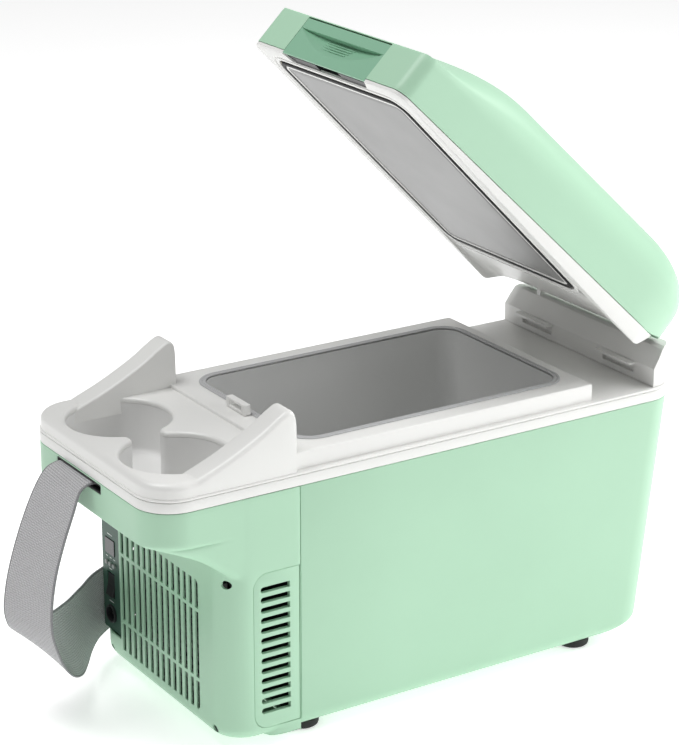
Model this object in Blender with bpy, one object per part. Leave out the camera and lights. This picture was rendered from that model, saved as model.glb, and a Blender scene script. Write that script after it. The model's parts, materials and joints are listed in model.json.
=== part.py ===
"""Compressor cooler fridge for a vehicle, with its lid standing open.

Lengths are in millimetres and become metres when a mesh is made. X runs across the
cooler, Y from the front grille to the rear, and Z up from the surface it stands on.
The frame's origin is on that surface, in the middle of the footprint with the lid open.
Inside the script Y is counted from the seam between the front casing and the main shell.
"""

import math

import bmesh
import bpy
from mathutils import Matrix, Vector

# Driving dimensions, in millimetres
MM = 0.001
GAP = 0.3  # between neighbours that touch
HALF_W = 108.5
FRONT_Y = -128.5
REAR_Y = 379.0
ORIGIN_Y = 135.3  # the footprint's middle, counted from the seam
FOOT_H = 8.0
SEAM_Z = 218.0  # top edge of the green shells
RIM_H = 9.0
WALL = 3.0
PANEL_Y = -68.0  # front of the recessed lower panel
BULKHEAD_Y = 6.0

DECK_Z = 241.5
LEDGE_Z = 244.3
FLOOR_Z = 229.6  # the channel behind the collar
CHEEK_Z = 281.0
COLLAR_END = 288.0
BLOCK_Y = 351.0

CUP_X = 46.0
CUP_Y = -76.0
CUP_R = 43.0
CUP_DEPTH = 46.0
PASSAGE_HALF = 14.0
HORN_R = 6.0

LINER_X = 82.5
LINER_Y0 = 18.0
LINER_Y1 = 272.0
LINER_R = 18.0
LINER_FLOOR = 42.0

HINGE_Y = 367.0
HINGE_Z = 276.0
OPEN_DEG = 45.5
LID_HALF = 109.0
LID_Z = 245.9  # underside of the closed lid
LID_FRONT_H = 37.5
LID_REAR_Y = 376.5

SEAM_FRONT = LID_Z + 3.4  # the seam between green shell and white pan, low at the front
SEAM_REAR = LID_Z + 15.5
PAN_REAR = 342.0
REAR_BEND = 318.0  # where the lid starts to turn down at the rear
CORNER_PULL = 24.0
TAIL_Z = 268.8  # the lid's lowest edge over the hinge housing
CREASE_H = 37.5  # side wall's height over the seam
DOME_H = 33.0
STATIONS = 14
LATCH_HALF = 60.0
GASKET_X = 93.0
GASKET_Y0 = 16.5
GASKET_Y1 = 274.0

GRILLE_X = (-68.5, 66.5)
GRILLE_ROWS = ((24.0, 49.0), (52.0, 110.0), (113.0, 137.5))
GRILLE_BARS = 14
VENT_BARS = 13
PANEL_X = (-104.0, -70.0)  # the control strip
SCREW_SPOTS = [(side * x, y, z) for side in (-1, 1) for x, y, z in ((99.5, -58.0, 146.0), (87.0, -64.5, 17.5))]
FOOT_SPOTS = [(s * 86.0, y) for s in (-1, 1) for y in (14.0, 290.0)]
FOOT_NAMES = ("foot_front_left", "foot_rear_left", "foot_front_right", "foot_rear_right")

COMP_X = -70.0  # the compressor's can
COMP_Y = -25.5
COMP_R = 25.0
FAN_X = 16.0
FAN_Z = 76.0
FAN_R = 43.0

SLOT_X = (-53.0, 22.0)  # strap slot in the front band
SLOT_Z = (208.5, 217.0)
STRAP_T = 1.8
STRAP_W = 58.0
STRAP_ROUTE = [  # the webbing's middle, and the direction that its width lies in
    ((-21.5, -124.0, 213.0), (1, 0, 0)),
    ((-21.5, -131.0, 213.0), (1, 0, 0)),
    ((-22.0, -140.0, 207.5), (1, 0.05, 0)),
    ((-22.5, -148.0, 192.0), (1, 0.13, 0)),
    ((-23.5, -158.0, 167.0), (1, 0.17, 0)),
    ((-23.5, -167.0, 140.0), (1, 0.2, 0)),
    ((-23.5, -172.5, 114.0), (1, 0.24, -0.05)),
    ((-24.5, -173.0, 91.0), (1, 0.3, -0.1)),
    ((-29.0, -165.0, 70.0), (1, 0.36, -0.25)),
    ((-39.0, -149.0, 56.0), (1, 0.3, -0.6)),
    ((-53.0, -130.0, 49.0), (0.7, 0.15, -0.8)),
    ((-70.0, -111.0, 47.0), (0.4, 0.05, -0.9)),
    ((-88.0, -92.0, 49.0), (0.2, 0, -1)),
    ((-105.0, -71.0, 52.0), (0.08, 0, -1)),
    ((-114.5, -45.0, 55.0), (0, 0, -1)),
    ((-116.0, 0.0, 62.0), (0, 0, -1)),
    ((-116.0, 80.0, 79.0), (0, 0, -1)),
    ((-116.0, 170.0, 105.0), (0, 0, -1)),
    ((-116.0, 260.0, 138.0), (0, 0, -1)),
    ((-115.0, 322.0, 163.0), (0, 0, -1)),
    ((-111.5, 352.0, 173.0), (0, 0, -1)),
    ((-101.0, 377.5, 179.0), (0, 0, -1)),
    ((-83.0, 387.0, 181.5), (0, 0, -1)),
    ((-70.0, 386.0, 182.0), (0, 0, -1)),
    ((-64.0, 381.0, 182.0), (0, 0, -1)),
    ((-63.0, 373.0, 182.0), (0, 0, -1)),
    ((-63.0, 366.5, 182.0), (0, 0, -1)),
]

GREEN = (0.46, 0.75, 0.57)
DEEP_GREEN = (0.30, 0.58, 0.40)
WHITE = (0.90, 0.90, 0.88)
GREY = (0.55, 0.56, 0.57)
STRAP_GREY = (0.42, 0.41, 0.43)
BLACK = (0.02, 0.02, 0.022)
DARK = (0.03, 0.06, 0.045)
STEEL = (0.60, 0.61, 0.62)
COPPER = (0.72, 0.36, 0.22)
FOAM = (0.86, 0.80, 0.62)
BOARD = (0.03, 0.22, 0.10)


for old in list(bpy.data.objects):
    bpy.data.objects.remove(old, do_unlink=True)


# --- helpers -------------------------------------------------------------


def material(name, colour, roughness=0.4, metallic=0.0):
    made = bpy.data.materials.get(name)
    if made is None:
        made = bpy.data.materials.new(name)
        made.use_nodes = True
        shader = made.node_tree.nodes["Principled BSDF"]
        shader.inputs["Base Color"].default_value = (*colour, 1.0)
        shader.inputs["Roughness"].default_value = roughness
        shader.inputs["Metallic"].default_value = metallic
    return made


def empty(name, location, rotation_x=0.0, parent=None):
    made = bpy.data.objects.new(name, None)
    bpy.context.collection.objects.link(made)
    made.location = [v * MM for v in location]
    made.rotation_euler = (rotation_x, 0.0, 0.0)
    made.parent = parent
    return made


def add(name, bm, finish, parent=None, origin=(0.0, 0.0, 0.0), smooth_deg=35.0):
    """Turn a bmesh drawn in millimetres into an object whose own origin is at `origin`."""
    bmesh.ops.remove_doubles(bm, verts=bm.verts, dist=1e-5)
    bmesh.ops.recalc_face_normals(bm, faces=bm.faces)
    shift = Vector(origin)
    for v in bm.verts:
        v.co = (v.co - shift) * MM
    mesh = bpy.data.meshes.new(name)
    bm.to_mesh(mesh)
    bm.free()
    made = bpy.data.objects.new(name, mesh)
    bpy.context.collection.objects.link(made)
    made.location = shift * MM
    made.parent = parent or CABINET
    if finish:
        mesh.materials.append(finish)
        mesh.shade_smooth()
        mesh.set_sharp_from_angle(angle=math.radians(smooth_deg))
    return made


def boolean(target, other, operation):
    """Cut, join or intersect with a hidden guide object."""
    other.hide_render = True
    other.display_type = "WIRE"
    step = target.modifiers.new(other.name, "BOOLEAN")
    step.operation = operation
    step.object = other
    step.solver = "EXACT"


def cut(target, *bodies):
    """Cut bmesh shapes out of a target; shapes that overlap each other go in separate calls."""
    joined = bmesh.new()
    for body in bodies:
        bmesh.ops.recalc_face_normals(body, faces=body.faces)
        copy = bpy.data.meshes.new("cut")
        body.to_mesh(copy)
        body.free()
        joined.from_mesh(copy)
        bpy.data.meshes.remove(copy)
    name = f"cut_{target.name}_{len(target.modifiers)}"
    boolean(target, add(name, joined, None, target.parent), "DIFFERENCE")


def fuse(target, *bodies):
    for body in bodies:
        name = f"add_{target.name}_{len(target.modifiers)}"
        boolean(target, add(name, body, None, target.parent), "UNION")


def box(x0, x1, y0, y1, z0, z1):
    bm = bmesh.new()
    size = Matrix.Diagonal((x1 - x0, y1 - y0, z1 - z0, 1.0))
    middle = Matrix.Translation(((x0 + x1) / 2, (y0 + y1) / 2, (z0 + z1) / 2))
    bmesh.ops.create_cube(bm, size=1.0, matrix=middle @ size)
    return bm


AXES = {
    "X": Matrix(((0, 0, 1), (0, 1, 0), (-1, 0, 0))),
    "Y": Matrix(((1, 0, 0), (0, 0, 1), (0, -1, 0))),
    "Z": Matrix.Identity(3),
}


def cylinder(middle, radius, length, axis="Z", sides=32, radius_end=None):
    bm = bmesh.new()
    place = Matrix.Translation(middle) @ AXES[axis].to_4x4()
    end = radius if radius_end is None else radius_end
    bmesh.ops.create_cone(
        bm, cap_ends=True, segments=sides, radius1=radius, radius2=end, depth=length, matrix=place
    )
    return bm


def ring(middle, radius, hole, length, axis="Z", sides=32):
    """A tube with square ends, as a lathe would turn it."""
    bm = bmesh.new()
    turn = AXES[axis]
    rows = []
    for r, end in ((hole, -0.5), (radius, -0.5), (radius, 0.5), (hole, 0.5)):
        circle = arc(0, 0, r, 0, 360 - 360 / sides, sides - 1)
        rows.append([bm.verts.new(turn @ Vector((x, y, end * length)) + Vector(middle)) for x, y in circle])
    for k, low in enumerate(rows):
        high = rows[(k + 1) % len(rows)]
        for i in range(sides):
            j = (i + 1) % sides
            bm.faces.new((low[i], low[j], high[j], high[i]))
    return bm


def arc(cx, cy, radius, start, end, steps):
    return [
        (
            cx + radius * math.cos(math.radians(start + (end - start) * i / steps)),
            cy + radius * math.sin(math.radians(start + (end - start) * i / steps)),
        )
        for i in range(steps + 1)
    ]


def rounded(x0, x1, y0, y1, radii, steps=6):
    """A rectangle with a radius for each corner: front left, front right, rear right, rear left."""
    fl, fr, rr, rl = radii if hasattr(radii, "__len__") else (radii,) * 4
    return (
        arc(x0 + fl, y0 + fl, fl, 180, 270, steps)
        + arc(x1 - fr, y0 + fr, fr, 270, 360, steps)
        + arc(x1 - rr, y1 - rr, rr, 0, 90, steps)
        + arc(x0 + rl, y1 - rl, rl, 90, 180, steps)
    )


def extrude(loop, low, high, axis="Z"):
    """A prism: a loop across `axis` filled and drawn out along it from low to high.

    The loop's pairs are (x, y) for Z, (x, z) for Y and (y, z) for X.
    """
    place = {
        "Z": lambda a, b, c: (a, b, c),
        "Y": lambda a, b, c: (a, c, b),
        "X": lambda a, b, c: (c, a, b),
    }[axis]
    return loft([[place(a, b, level) for a, b in loop] for level in (low, high)])


def loft(loops):
    """Closed rows with the same number of points, skinned in order and capped at both ends."""
    bm = bmesh.new()
    rows = [[bm.verts.new(p) for p in loop] for loop in loops]
    count = len(rows[0])
    for low, high in zip(rows, rows[1:]):
        for i in range(count):
            j = (i + 1) % count
            bm.faces.new((low[i], low[j], high[j], high[i]))
    bm.faces.new(list(reversed(rows[0])))
    bm.faces.new(rows[-1])
    return bm


def frame_of(outer, inner, low, high):
    """A flat ring between two loops with the same number of points."""
    bm = bmesh.new()
    rows = [
        [bm.verts.new((x, y, z)) for x, y in loop]
        for loop, z in ((inner, low), (outer, low), (outer, high), (inner, high))
    ]
    for k, low_row in enumerate(rows):
        high_row = rows[(k + 1) % 4]
        for i in range(len(outer)):
            j = (i + 1) % len(outer)
            bm.faces.new((low_row[i], low_row[j], high_row[j], high_row[i]))
    return bm


def tube(name, points, diameter, finish, steps=3):
    """A bent pipe along a smooth curve through a few points."""
    curve = bpy.data.curves.new(name, "CURVE")
    curve.dimensions = "3D"
    line = smooth_line([Vector(p) for p in points], steps)
    spline = curve.splines.new("POLY")
    spline.points.add(len(line) - 1)
    for point, p in zip(spline.points, line):
        point.co = (*(p * MM), 1.0)
    curve.bevel_depth = diameter / 2 * MM
    curve.bevel_resolution = 2
    curve.use_fill_caps = True
    made = bpy.data.objects.new(name, curve)
    bpy.context.collection.objects.link(made)
    made.parent = CABINET
    curve.materials.append(finish)
    return made


def smooth_line(points, steps):
    """A Catmull-Rom curve through the points."""
    ends = [2 * points[0] - points[1], *points, 2 * points[-1] - points[-2]]
    line = []
    for a, b, c, d in zip(ends, ends[1:], ends[2:], ends[3:]):
        bend = 2 * a - 5 * b + 4 * c - d
        twist = 3 * b - a - 3 * c + d
        for t in (i / steps for i in range(steps)):
            line.append(0.5 * (2 * b + (c - a) * t + bend * t**2 + twist * t**3))
    return line + [points[-1]]


CABINET = empty("cabinet_frame", (0, -ORIGIN_Y, 0))
LID_AXIS = empty("lid_hinge_axis", (0, HINGE_Y, HINGE_Z), -math.radians(OPEN_DEG), CABINET)
LID_DRAW = empty("lid_drawing_frame", (0, -HINGE_Y, -HINGE_Z), 0.0, LID_AXIS)

PAINT = material("mint_plastic", GREEN, 0.3)
PAINT_DEEP = material("deep_mint_plastic", DEEP_GREEN, 0.35)
SHELL_WHITE = material("white_plastic", WHITE, 0.35)
LINER_GREY = material("grey_plastic", GREY, 0.45)
RUBBER = material("black_rubber", BLACK, 0.75)
BLACK_PLASTIC = material("black_plastic", BLACK, 0.35)
DARK_PLASTIC = material("dark_plastic", DARK, 0.4)
METAL = material("steel", STEEL, 0.3, 1.0)
PIPE = material("copper", COPPER, 0.3, 1.0)
PU_FOAM = material("foam", FOAM, 0.9)
WEBBING = material("webbing", STRAP_GREY, 0.85)
CIRCUIT = material("circuit_board", BOARD, 0.5)


# --- green shells --------------------------------------------------------


def tub_rows(inset, bottom, rear_inset):
    """Rows of the cooler's outside (inset 0) or of a skin inside it, from the bottom up."""
    rows = []
    fillet = 13.0
    for k in range(5):
        a = math.radians(90 * k / 4)
        rise = fillet * (1 - math.cos(a))
        pull = fillet * (1 - math.sin(a))
        rows.append((bottom + rise, pull))
    rows.append((SEAM_Z + 5, 0.0))
    made = []
    for z, pull in rows:
        low = max(0.0, 1 - (z - FOOT_H) / (SEAM_Z - FOOT_H))
        rear = REAR_Y - 26.0 * low - rear_inset - pull * 2.2
        half = HALF_W - inset - pull
        radius = max(30.0 - inset, 8.0)
        loop = rounded(-half, half, -40.0, rear, (1.0, 1.0, radius, radius))
        made.append([(x, y, z) for x, y in loop])
    return made


def make_main_shell():
    shell = add("main_shell", loft(tub_rows(0.0, FOOT_H, 0.0)), PAINT)
    cut(shell, loft(tub_rows(WALL, FOOT_H + WALL, WALL)))
    cut(shell, box(-120, 120, -60, 0, -5, 240))
    cut(shell, box(-120, 120, -60, 400, SEAM_Z, 240))
    cut(shell, box(-70.0, -56.0, 355.0, 385.0, 148.0, 216.0))


def underside(offset):
    """The overhang's profile in Y and Z, moved back into the plastic by `offset`."""
    line = [
        (FRONT_Y - 10, 188.5),
        (FRONT_Y + 1.5, 188.5),
        (FRONT_Y + 8, 186.0),
        (-107.0, 183.0),
        (-90.0, 174.0),
        (-72.6, 162.2),
        (-57.0, 149.5),
        (-49.5, 140.0),
        (-45.5, 128.0),
    ]
    top = [(30.0, 128.0), (30.0, 240.0), (FRONT_Y - 10, 240.0)]
    return [(y + offset * 0.6, z + offset) for y, z in line] + top


def casing_solid(inset):
    """The upper band with its sloping underside, and the recessed lower body."""
    band = rounded(-HALF_W + inset, HALF_W - inset, FRONT_Y + inset, 20, (32 - inset, 32 - inset, 1, 1), 8)
    upper = add(f"casing_upper_{inset:.0f}", extrude(band, 100, 240), None)
    slope = add(f"casing_slope_{inset:.0f}", extrude(underside(inset), -130, 130, "X"), None)
    boolean(upper, slope, "INTERSECT")
    rows = []
    fillet = 13.0
    for k in range(5):
        a = math.radians(90 * k / 4)
        pull = fillet * (1 - math.sin(a))
        z = FOOT_H + inset + fillet * (1 - math.cos(a))
        half = HALF_W - inset - pull
        loop = rounded(-half, half, PANEL_Y + 2 + inset + pull, 20, (24 - inset, 24 - inset, 1, 1), 8)
        rows.append([(x, y, z) for x, y in loop])
    top = rounded(-HALF_W + inset, HALF_W - inset, PANEL_Y + inset, 20, (24 - inset, 24 - inset, 1, 1), 8)
    rows.append([(x, y, 205.0) for x, y in top])
    lower = add(f"casing_lower_{inset:.0f}", loft(rows), None)
    lower.hide_render = True
    lower.display_type = "WIRE"
    boolean(upper, lower, "UNION")
    return upper


def grille_slots():
    pitch = (GRILLE_X[1] - GRILLE_X[0]) / GRILLE_BARS
    slots = []
    for i in range(GRILLE_BARS):
        x = GRILLE_X[0] + pitch * (i + 0.5)
        last = i == GRILLE_BARS - 1
        for k, (z0, z1) in enumerate(GRILLE_ROWS):
            low = 4.0 if last and k == 0 else 0.4
            high = 4.0 if last and k == 2 else 0.4
            loop = rounded(x - 2.6, x + 2.6, z0, z1, (0.4, low, high, 0.4), 3 if last else 1)
            slots.append(extrude(loop, PANEL_Y - 8, PANEL_Y + 9, "Y"))
    return slots


def make_front_casing():
    casing = casing_solid(0.0)
    casing.name = "front_casing"
    casing.data.materials.append(PAINT)
    casing.data.shade_smooth()
    casing.data.set_sharp_from_angle(angle=math.radians(35))
    boolean(casing, casing_solid(WALL), "DIFFERENCE")
    cut(casing, box(-120, 120, -GAP, 60, -5, 260))
    cut(casing, box(-120, 120, -160, 60, SEAM_Z, 260))
    cut(casing, *grille_slots())
    cut(casing, box(SLOT_X[0], SLOT_X[1], FRONT_Y - 5, FRONT_Y + 9, SLOT_Z[0], SLOT_Z[1]))
    for side in (-1, 1):
        panel = rounded(-43.4, -0.9, 17.5, 152.4, (13.0, 0.5, 0.5, 13.0), 5)
        cut(casing, extrude(panel, side * 104.0, side * 112.0, "X"))
    cut(casing, extrude(rounded(-104.3, -69.7, 31.7, 132.3, 2.0, 2), PANEL_Y - 9, PANEL_Y + 16, "Y"))
    for x, y, z in SCREW_SPOTS:
        cut(casing, cylinder((x, -68, z), 3.4, 34, "Y", 16))


def make_side_vent(side):
    name = "side_vent_panel_right" if side > 0 else "side_vent_panel_left"
    loop = rounded(-43.1, -1.2, 17.8, 152.1, (12.7, 0.5, 0.5, 12.7), 5)
    panel = add(name, extrude(loop, side * (HALF_W - 4), side * HALF_W, "X"), PAINT)
    slots = []
    for i in range(VENT_BARS):
        z = 33.0 + 8.75 * i
        slot = rounded(-36.5, -9.9, z - 2.4, z + 2.4, (2.0, 0.3, 0.3, 2.0), 1)
        slots.append(extrude(slot, side * (HALF_W - 9), side * (HALF_W + 5), "X"))
    cut(panel, *slots)


# --- white top -----------------------------------------------------------


def make_rim_band():
    outer = rounded(-HALF_W, HALF_W, FRONT_Y, REAR_Y, (32, 32, 30, 30), 8)
    inner = rounded(-HALF_W + 7, HALF_W - 7, FRONT_Y + 7, REAR_Y - 7, (25, 25, 23, 23), 8)
    add("rim_band", frame_of(outer, inner, SEAM_Z + GAP, SEAM_Z + RIM_H), SHELL_WHITE)


def cup_outline(offset=0.0):
    """Plan of the two joined cups, anticlockwise, grown outwards by an offset."""
    bend = HORN_R - offset
    radius = CUP_R + offset
    rise = PASSAGE_HALF + HORN_R
    across = math.sqrt((CUP_R + HORN_R) ** 2 - rise**2)
    turn = math.degrees(math.atan2(rise, across))
    gap = CUP_X - across
    right = arc(CUP_X, CUP_Y, radius, -180 + turn, 180 - turn, 28)
    rear_right = arc(gap, CUP_Y + rise, bend, -turn, -90, 4)
    rear_left = arc(-gap, CUP_Y + rise, bend, -90, -180 + turn, 4)
    left = arc(-CUP_X, CUP_Y, radius, turn, 360 - turn, 28)
    front_left = arc(-gap, CUP_Y - rise, bend, 180 - turn, 90, 4)
    front_right = arc(gap, CUP_Y - rise, bend, 90, turn, 4)
    return right + rear_right + rear_left + left + front_left + front_right


def make_top_cover():
    """Deck, cheeks, collar and the channel behind it, moulded in one."""
    base = SEAM_Z + RIM_H + GAP
    plan = rounded(-HALF_W, HALF_W, FRONT_Y, REAR_Y, (32, 32, 30, 30), 8)
    cover = add("top_cover", extrude(plan, base, FLOOR_Z), SHELL_WHITE)
    deck_rows = []
    edge = ((FLOOR_Z - 1, 0.0), (DECK_Z - 5, 0.0), (DECK_Z - 2.2, 1.2), (DECK_Z - 0.4, 3.8), (DECK_Z, 6.0))
    for z, pull in edge:
        half = HALF_W - 1 - pull
        loop = rounded(-half, half, FRONT_Y + 1 + pull, -2.5, (31 - pull, 31 - pull, 1, 1), 8)
        deck_rows.append([(x, y, z) for x, y in loop])
    fuse(cover, loft(deck_rows))
    side = [
        (-98.0, FLOOR_Z + 2),
        (-98.0, DECK_Z - 3),
        (-61.0, 252.5),
        (-34.0, 266.0),
        (-14.0, 279.0),
        (-9.0, CHEEK_Z),
        (-5.0, CHEEK_Z - 0.8),
        (-2.9, CHEEK_Z - 4),
        (-2.5, CHEEK_Z - 9),
        (-2.5, FLOOR_Z + 2),
    ]
    for s in (-1, 1):
        fuse(cover, extrude(side, s * (HALF_W - 24), s * (HALF_W - 1), "X"))
    ledge = rounded(-HALF_W + 4.5, HALF_W - 4.5, -8.0, COLLAR_END, 1.0, 1)
    fuse(cover, extrude(ledge, FLOOR_Z - 1, LEDGE_Z))
    cut(cover, extrude(cup_outline(), 200, 300))
    cut(cover, extrude(cup_outline(2.0 + GAP), 200, DECK_Z - 4))
    opening = rounded(-LINER_X - 2.3, LINER_X + 2.3, LINER_Y0 - 2.3, LINER_Y1 + 2.3, LINER_R + 2.3, 6)
    cut(cover, extrude(opening, 200, 300))


def make_cup_tray():
    """The two joined wells that hang under the deck, open above."""
    floor = DECK_Z - CUP_DEPTH
    wells = add("cup_tray", extrude(cup_outline(2.0), floor - 2.5, DECK_Z - 4 - GAP), SHELL_WHITE)
    cut(wells, extrude(cup_outline(), floor, DECK_Z + 20))


def make_hinge_housing():
    """The raised block behind the channel, with two ears for the lid's pins."""
    profile = [
        (BLOCK_Y, FLOOR_Z + GAP),
        (REAR_Y - 1.5, FLOOR_Z + GAP),
        (REAR_Y - 1.5, 261.0),
        (REAR_Y - 4.0, 262.8),
        (364.5, 262.8),
        (361.0, 261.0),
        (352.5, 248.0),
        (BLOCK_Y, 245.8),
    ]
    block = add("hinge_housing", extrude(profile, -HALF_W - 5, HALF_W + 5, "X"), SHELL_WHITE)
    plan = rounded(-HALF_W + 2, HALF_W - 2, 200, REAR_Y - 1.5, (1, 1, 26, 26), 8)
    guide = add("hinge_housing_plan", extrude(plan, 200, 300), None)
    boolean(block, guide, "INTERSECT")
    for s in (-1, 1):
        ear = [(HINGE_Y - 5.5, 261.0), (HINGE_Y + 5.5, 261.0)] + arc(HINGE_Y, HINGE_Z, 5.5, 0, 180, 10)
        fuse(block, extrude(ear, s * 67.5, s * 73.0, "X"))
    for s in (-1, 1):
        cut(block, cylinder((s * 70, HINGE_Y, HINGE_Z), 2.8, 12, "X", 20))
        # the recess under each front lip
        cut(block, box(-21 + s * 58, 21 + s * 58, BLOCK_Y - 4, BLOCK_Y + 3.5, 235.0, 242.0))
    # hollow below
    cut(block, box(-78, 78, BLOCK_Y + 7, REAR_Y - 6, 200, 253.0))


def make_lips():
    for s, name in ((-1, "channel_lip_left"), (1, "channel_lip_right")):
        loop = rounded(s * 58 - 24, s * 58 + 24, BLOCK_Y - 7.0, BLOCK_Y - GAP, (2.5, 2.5, 0.5, 0.5), 3)
        add(name, extrude(loop, 243.0, 245.2), SHELL_WHITE)


def make_catch():
    """The window bracket on the ledge that the lid's latch hooks into."""
    bracket = add("latch_catch", box(-14.5, 14.5, 5.5, 11.5, LEDGE_Z + GAP, 253.5), SHELL_WHITE)
    cut(bracket, box(-9.5, 9.5, 2, 14, 247.0, 251.3))


# --- cold compartment ----------------------------------------------------


def make_liner():
    """The tub: draughted walls, a radius round its floor, and walls 2 mm thick."""
    inside, outside = [], []
    for z, pull, r in (
        (LINER_FLOOR, 16.0, 16.0),
        (LINER_FLOOR + 4, 11.0, 18.0),
        (LINER_FLOOR + 14, 8.0, 18.0),
        (250.0, 0.0, LINER_R),
    ):
        for rows, grow, drop in ((inside, 0.0, 0.0), (outside, 2.0, 2.0 if z < 200 else 0.0)):
            half = LINER_X - pull + grow
            loop = rounded(-half, half, LINER_Y0 + pull - grow, LINER_Y1 - pull + grow, r + grow, 6)
            rows.append([(x, y, z - drop) for x, y in loop])
    liner = add("liner", loft(outside), LINER_GREY)
    cut(liner, loft(inside))
    cut(liner, box(-120, 120, -20, 320, LEDGE_Z - 0.8, 270))


def make_liner_trim():
    outer = rounded(-LINER_X - 6, LINER_X + 6, LINER_Y0 - 6, LINER_Y1 + 6, LINER_R + 6, 6)
    inner = rounded(-LINER_X + 0.2, LINER_X - 0.2, LINER_Y0 + 0.2, LINER_Y1 - 0.2, LINER_R, 6)
    add("liner_trim", frame_of(outer, inner, LEDGE_Z + GAP, LEDGE_Z + 1.0), LINER_GREY)


def make_insulation():
    """Foam between the shells and the liner, with a pocket that the evaporator sits in."""
    half = HALF_W - WALL - 0.5
    rows = []
    for z, pull in ((FOOT_H + WALL + 1.5, 12.0), (FOOT_H + WALL + 15, 0.6), (SEAM_Z - 0.5, 0.3)):
        low = max(0.0, 1 - (z - FOOT_H) / (SEAM_Z - FOOT_H))
        rear = REAR_Y - 26.0 * low - WALL - 0.8 - pull * 1.4
        loop = rounded(-half + pull, half - pull, BULKHEAD_Y + 0.5, rear, (1, 1, 26, 26), 5)
        rows.append([(x, y, z) for x, y in loop])
    foam = add("insulation_foam", loft(rows), PU_FOAM)
    pocket = []
    for z, pull in ((LINER_FLOOR - 3.0, 10.0), (LINER_FLOOR + 10, 4.0), (SEAM_Z + 5, -3.9)):
        loop = rounded(-LINER_X + pull, LINER_X - pull, LINER_Y0 + pull, LINER_Y1 - pull, 20, 5)
        pocket.append([(x, y, z) for x, y in loop])
    cut(foam, loft(pocket))
    room = 4.2
    recess = rounded(-LINER_X - room, LINER_X + room, LINER_Y0 - room, LINER_Y1 + room, 2, 1)
    cut(foam, extrude(recess, 149.0, SEAM_Z + 5))
    cut(foam, box(-70.0, -56.0, 361.0, 385.0, 148.0, 216.0))


def make_evaporator():
    """A thin plate folded round three sides of the liner."""
    loop = [(-1, 1), (-1, 0), (1, 0), (1, 1)]
    outer = [(a * (LINER_X + 3.1), LINER_Y0 - 3.1 + b * 180) for a, b in loop]
    inner = [(a * (LINER_X + 2.3), LINER_Y0 - 2.3 + b * 179) for a, b in reversed(loop)]
    add("evaporator_plate", extrude(outer + inner, 150.0, 208.0), METAL)


def make_bulkhead():
    half = HALF_W - WALL - 0.6
    plate = rounded(-half, half, FOOT_H + WALL + 0.6, SEAM_Z - 0.6, (14, 14, 1, 1), 5)
    add("bulkhead", extrude(plate, 3.0, BULKHEAD_Y, "Y"), BLACK_PLASTIC)


# --- machine bay ---------------------------------------------------------


def make_compressor():
    """A small hermetic can with domed ends on a bracket."""
    rows = []
    for z, r in ((22, 12), (25, 20), (30, COMP_R), (110, COMP_R), (115, 20), (118, 12)):
        rows.append([(COMP_X + x, COMP_Y + y, z) for x, y in arc(0, 0, r, 0, 360 - 360 / 28, 27)])
    can = add("compressor", loft(rows), BLACK_PLASTIC)
    bracket = add("compressor_bracket", box(COMP_X - 24, COMP_X + 26, -50, 1, 18.0, 21.6), METAL)
    for sx in (-0.8, 1):
        for y in (-44, -5):
            fuse(bracket, cylinder((COMP_X + sx * 22, y, 15.4), 4.5, 6.4, "Z", 16))


def make_condenser():
    core = add("condenser", box(-38, 70, -60.5, -44.5, 22, 132), METAL)
    slots = [box(-40, 72, -62, -47.5, z, z + 3.4) for z in (26 + 7.5 * i for i in range(14))]
    cut(core, *slots)


def make_fan():
    """Square frame with four struts and a bearing boss, and the seven-bladed rotor in front."""
    outline = rounded(FAN_X - 47, FAN_X + 47, FAN_Z - 47, FAN_Z + 47, 4, 3)
    frame = add("fan_frame", extrude(outline, -43, -20, "Y"), BLACK_PLASTIC)
    cut(frame, cylinder((FAN_X, -31.5, FAN_Z), FAN_R + 1.5, 40, "Y", 40))
    for turn in (45, 135):
        strut = box(-FAN_R - 3, FAN_R + 3, -24.0, -20.5, -3, 3)
        bmesh.ops.rotate(strut, verts=strut.verts, matrix=Matrix.Rotation(math.radians(turn), 3, "Y"))
        bmesh.ops.translate(strut, verts=strut.verts, vec=(FAN_X, 0, FAN_Z))
        fuse(frame, strut)
    fuse(frame, cylinder((FAN_X, -22.2, FAN_Z), 13, 3.6, "Y", 24))
    fuse(frame, cylinder((FAN_X, -27.0, FAN_Z), 2.5, 8, "Y", 16))
    hub = cylinder((FAN_X, -33.5, FAN_Z), 17.0, 16.0, "Y", 28)
    rotor = add("fan_rotor", hub, BLACK_PLASTIC, origin=(FAN_X, -33.5, FAN_Z))
    for i in range(7):
        rows = []
        for r in (15.0, 28.0, FAN_R - 0.5):
            tilt = Matrix.Rotation(math.radians(52 - 20 * (r - 15) / 28), 3, "Z")
            corners = ((-6.4, -0.8), (6.4, -0.8), (6.4, 0.8), (-6.4, 0.8))
            rows.append([tilt @ Vector((a, b, 0.0)) + Vector((0.0, 0.0, r)) for a, b in corners])
        blade = loft(rows)
        bmesh.ops.rotate(blade, verts=blade.verts, matrix=Matrix.Rotation(math.tau * i / 7, 3, "Y"))
        bmesh.ops.translate(blade, verts=blade.verts, vec=(FAN_X, -33.5, FAN_Z))
        fuse(rotor, blade)
    cut(rotor, cylinder((FAN_X, -26.0, FAN_Z), 4.0, 12, "Y", 16))


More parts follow.
